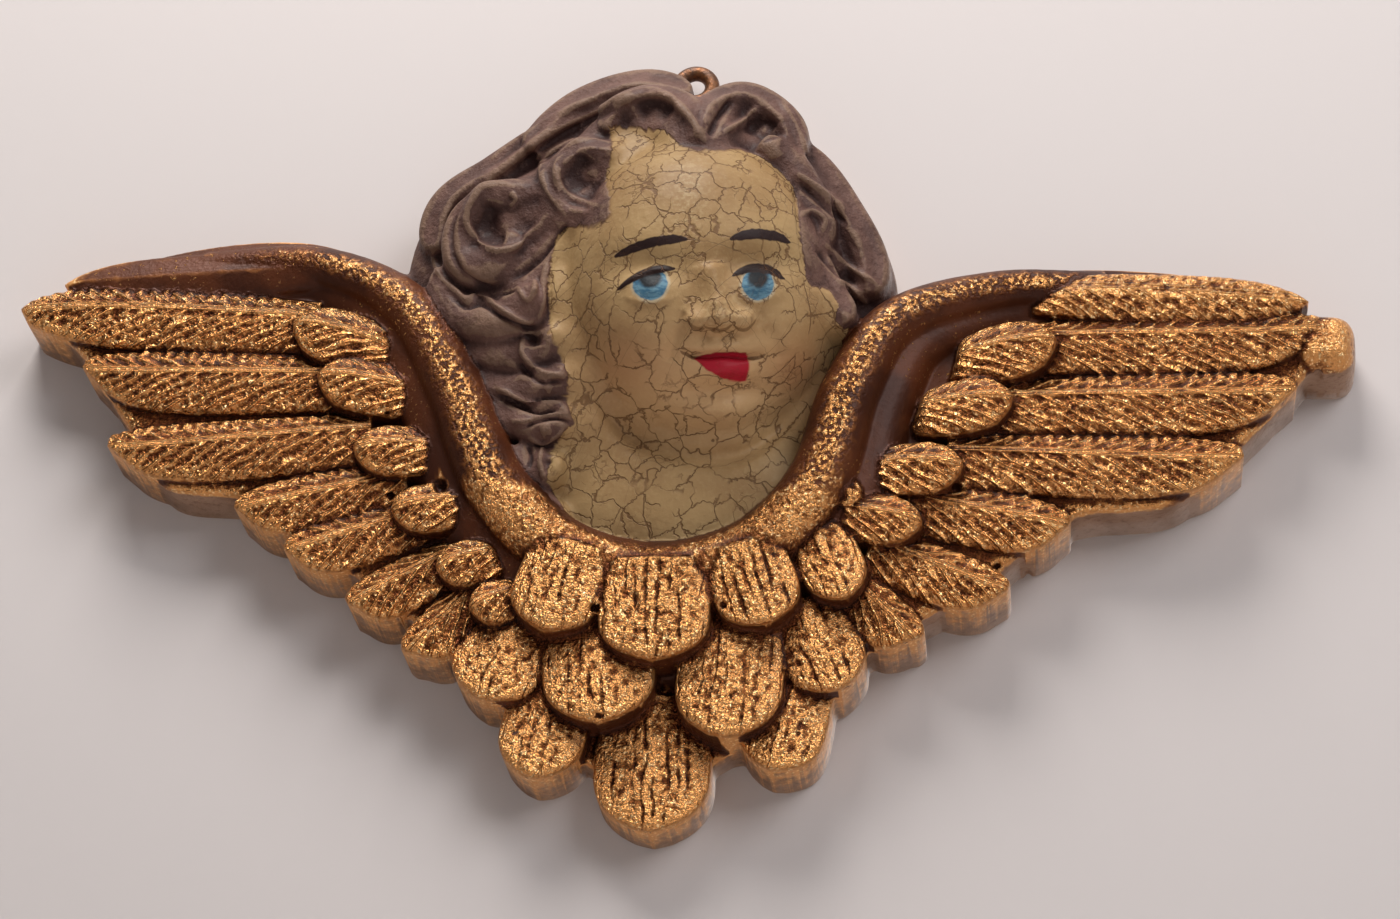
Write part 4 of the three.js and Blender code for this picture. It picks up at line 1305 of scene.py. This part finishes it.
def painted_plaster():
    material, tree, surface = shader("painted_plaster")
    place, sight = millimetres(tree), note(tree, "sight", "Vector")
    notes = {name: note(tree, name) for name in ("flesh", "hair", "leaf", "crest", "bare", "gouged",
                                                 "fine_hollow", "broad_hollow")}
    notes["lie"] = note(tree, "lie", "Vector")
    fine, broad = notes["fine_hollow"], notes["broad_hollow"]
    colour, rough, metal, height = gold_paint(tree, place, notes)
    ragged = (grain(place, 0.8, 3.0, 0.6) - 0.5) * 0.5
    for mask, shine, (over, over_rough, over_height) in (
            ((notes["bare"] + ragged).eased(0.35, 0.65), 0.12, bare_plaster(place)),
            (notes["hair"].eased(0.3, 0.7), 0.0, hair_paint(place, fine, broad)),
            (notes["flesh"].eased(0.3, 0.7), 0.0, flesh_paint(tree, place, sight, broad))):
        colour = mixed(mask, colour, over)
        rough = between(mask, rough, over_rough)
        height = between(mask, height, over_height)
        metal = between(mask, metal, shine)
    finish(surface, colour, rough, metal, height)
    surface.inputs["Coat Weight"].default_value = 0.05
    surface.inputs["Coat Roughness"].default_value = 0.2
    surface.inputs["Specular IOR Level"].default_value = 0.22
    return material


def tarnished_brass():
    material, tree, surface = shader("tarnished_brass")
    place = millimetres(tree)
    cloud = grain(place, 0.7, 4.0, 0.6)
    speck = grain(place, 3.0, 3.0, 0.6)
    colour = layered("brass", (cloud.eased(0.4, 0.7), "light brass"),
                     (speck.eased(0.5, 0.7) * 0.6, "tarnish"))
    finish(surface, colour, between(cloud, 0.55, 0.3), 0.6, speck * 0.08 + cloud * 0.1)
    return material


# Objects

def to_row_frame(mesh):
    mesh.transform(Matrix.Translation((-EYE_PLACE[0] * MM, 0, -EYE_PLACE[1] * MM)) @ Matrix.Scale(MM, 4))


def painted(thing, material):
    """Gives an object smooth shading and its one material."""
    mesh = thing.data
    mesh.polygons.foreach_set("use_smooth", [True] * len(mesh.polygons))
    mesh.materials.clear()
    mesh.materials.append(material)


def make_casting():
    paint = painted_plaster()
    blades, lies = feathers(blade_tree(paint))
    strands = strand_tree(paint)
    roll, shoulder = collar_rolls(strands)
    pieces = {"feathers": blades, "collar": [roll], "shoulder": [shoulder],
              "hair": [hair_mass(), *hair_locks(strands)],
              "head": [mound(HEAD_CENTRE, HEAD_HALF, head_axes(), rings=100, sides=180)],
              "neck": [mound(NECK_CENTRE, NECK_HALF)],
              "body": [wing_body()],
              "knob": [mound(KNOB_CENTRE, KNOB_HALF, fullness=0.6, rings=40, sides=60)]}
    found = {name: tree_of(meshes) for name, meshes in pieces.items()}
    trees = {name: tree for name, (tree, _) in found.items()}
    thing = skinned([mesh for meshes in pieces.values() for mesh in meshes])
    model_head(thing, trees)
    thinned(thing)
    cut_at_wall(thing)
    mark_paint(thing, trees, found["feathers"][1], lies)
    painted(thing, paint)
    to_row_frame(thing.data)
    return thing


def tube_faces(rows, sides, closed=False):
    """Faces between rows of points, each of them a ring, and the two lids unless the tube is closed."""
    faces = []
    for row in range(rows if closed else rows - 1):
        low, high = row * sides, (row + 1) % rows * sides
        for side in range(sides):
            after = (side + 1) % sides
            faces.append((low + side, high + side, high + after, low + after))
    if not closed:
        faces += [list(range(sides)), list(range((rows - 1) * sides, rows * sides))]
    return faces


def make_eye():
    """Ring of brass wire round its own hole, on a shank that goes down into the hair."""
    reach, half = 0.5 * (EYE_HOLE + EYE_WIRE), 0.5 * EYE_WIRE
    angles = [2 * math.pi * side / WIRE_SIDES for side in range(WIRE_SIDES)]
    round_wire = [(half * math.cos(angle), half * math.sin(angle) - EYE_FROM_WALL) for angle in angles]
    turns = [2 * math.pi * step / RING_STEPS for step in range(RING_STEPS)]
    ring = [((reach + out) * math.cos(turn), y, (reach + out) * math.sin(turn))
            for turn in turns for out, y in round_wire]
    shank = [(out, y, -reach - SHANK_LENGTH * step / SHANK_STEPS)
             for step in range(SHANK_STEPS + 1) for out, y in round_wire]
    meshes = [mesh_of("ring", ring, tube_faces(RING_STEPS, WIRE_SIDES, closed=True)),
              mesh_of("shank", shank, tube_faces(SHANK_STEPS + 1, WIRE_SIDES))]
    thing = new_object("hanging_eye_wire", joined("hanging_eye_wire", meshes)[0])
    rounded(thing, EYE_VOXEL, 2)
    painted(thing, tarnished_brass())
    thing.data.transform(Matrix.Scale(MM, 4))
    return thing


def make_camera():
    camera = new_object("camera", bpy.data.cameras.new("camera"))
    camera.data.lens = VIEW_LENS
    camera.data.sensor_width = VIEW_SENSOR
    camera.data.clip_start = 0.01
    place = Vector(SIGHT_PLACE - [EYE_PLACE[0], 0, EYE_PLACE[1]]) * MM
    turn = Matrix([SIGHT_RIGHT, SIGHT_UP, SIGHT_BACK]).transposed().to_4x4()
    camera.matrix_world = Matrix.Translation(place) @ turn
    bpy.context.scene.camera = camera


def stage_plane(name, place, turn):
    """A matt plane in the stage's own tone."""
    material, tree, surface = shader(f"pale_{name}")
    surface.inputs["Base Color"].default_value = tone(name)
    surface.inputs["Roughness"].default_value = 0.9
    half = STAGE_SIZE / 2
    mesh = bpy.data.meshes.new(name)
    mesh.from_pydata([(-half, -half, 0), (half, -half, 0), (half, half, 0), (-half, half, 0)], [],
                     [(0, 1, 2, 3)])
    mesh.transform(Matrix.Translation(place) @ Matrix.Rotation(turn, 4, "X"))
    mesh.materials.append(material)
    new_object(name, mesh)
    return tree, surface


def one_sided(tree, surface):
    """Lets a wall show only its front, and lets the light behind it reach the ornament's back."""
    behind = node_of(tree, "ShaderNodeNewGeometry", output="Backfacing")
    to_lamp = node_of(tree, "ShaderNodeLightPath", output="Is Shadow Ray")
    clear = node_of(tree, "ShaderNodeBsdfTransparent")
    mix = node_of(tree, "ShaderNodeMixShader", behind.math("MAXIMUM", to_lamp),
                  Wire(tree, surface.outputs[0]), clear)
    plug(tree, mix, tree.nodes["Material Output"].inputs["Surface"])


def soft_light(name, place, aim, size, power, colour):
    lamp = bpy.data.lights.new(name, "AREA")
    lamp.size = size
    lamp.energy = power
    lamp.color = colour
    thing = new_object(name, lamp)
    thing.location = place
    thing.rotation_mode = "QUATERNION"
    thing.rotation_quaternion = (Vector(aim) - Vector(place)).to_track_quat("-Z", "Y")


def make_stage():
    one_sided(*stage_plane("wall", (0, WALL_GAP, 0), math.pi / 2))
    stage_plane("floor", (0, 0, FLOOR_LEVEL), 0.0)
    for lamp in LAMPS:
        soft_light(*lamp)
    world = bpy.data.worlds.new("room")
    world.use_nodes = True
    background = world.node_tree.nodes["Background"]
    background.inputs["Color"].default_value = ROOM_COLOUR
    background.inputs["Strength"].default_value = ROOM_STRENGTH
    bpy.context.scene.world = world
    bpy.context.scene.view_settings.view_transform = "Standard"


make_camera()
make_stage()
casting = make_casting()
eye = make_eye()

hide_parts("cast_winged_head")
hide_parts("hanging_eye")
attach(casting, "root")
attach(eye, "root")
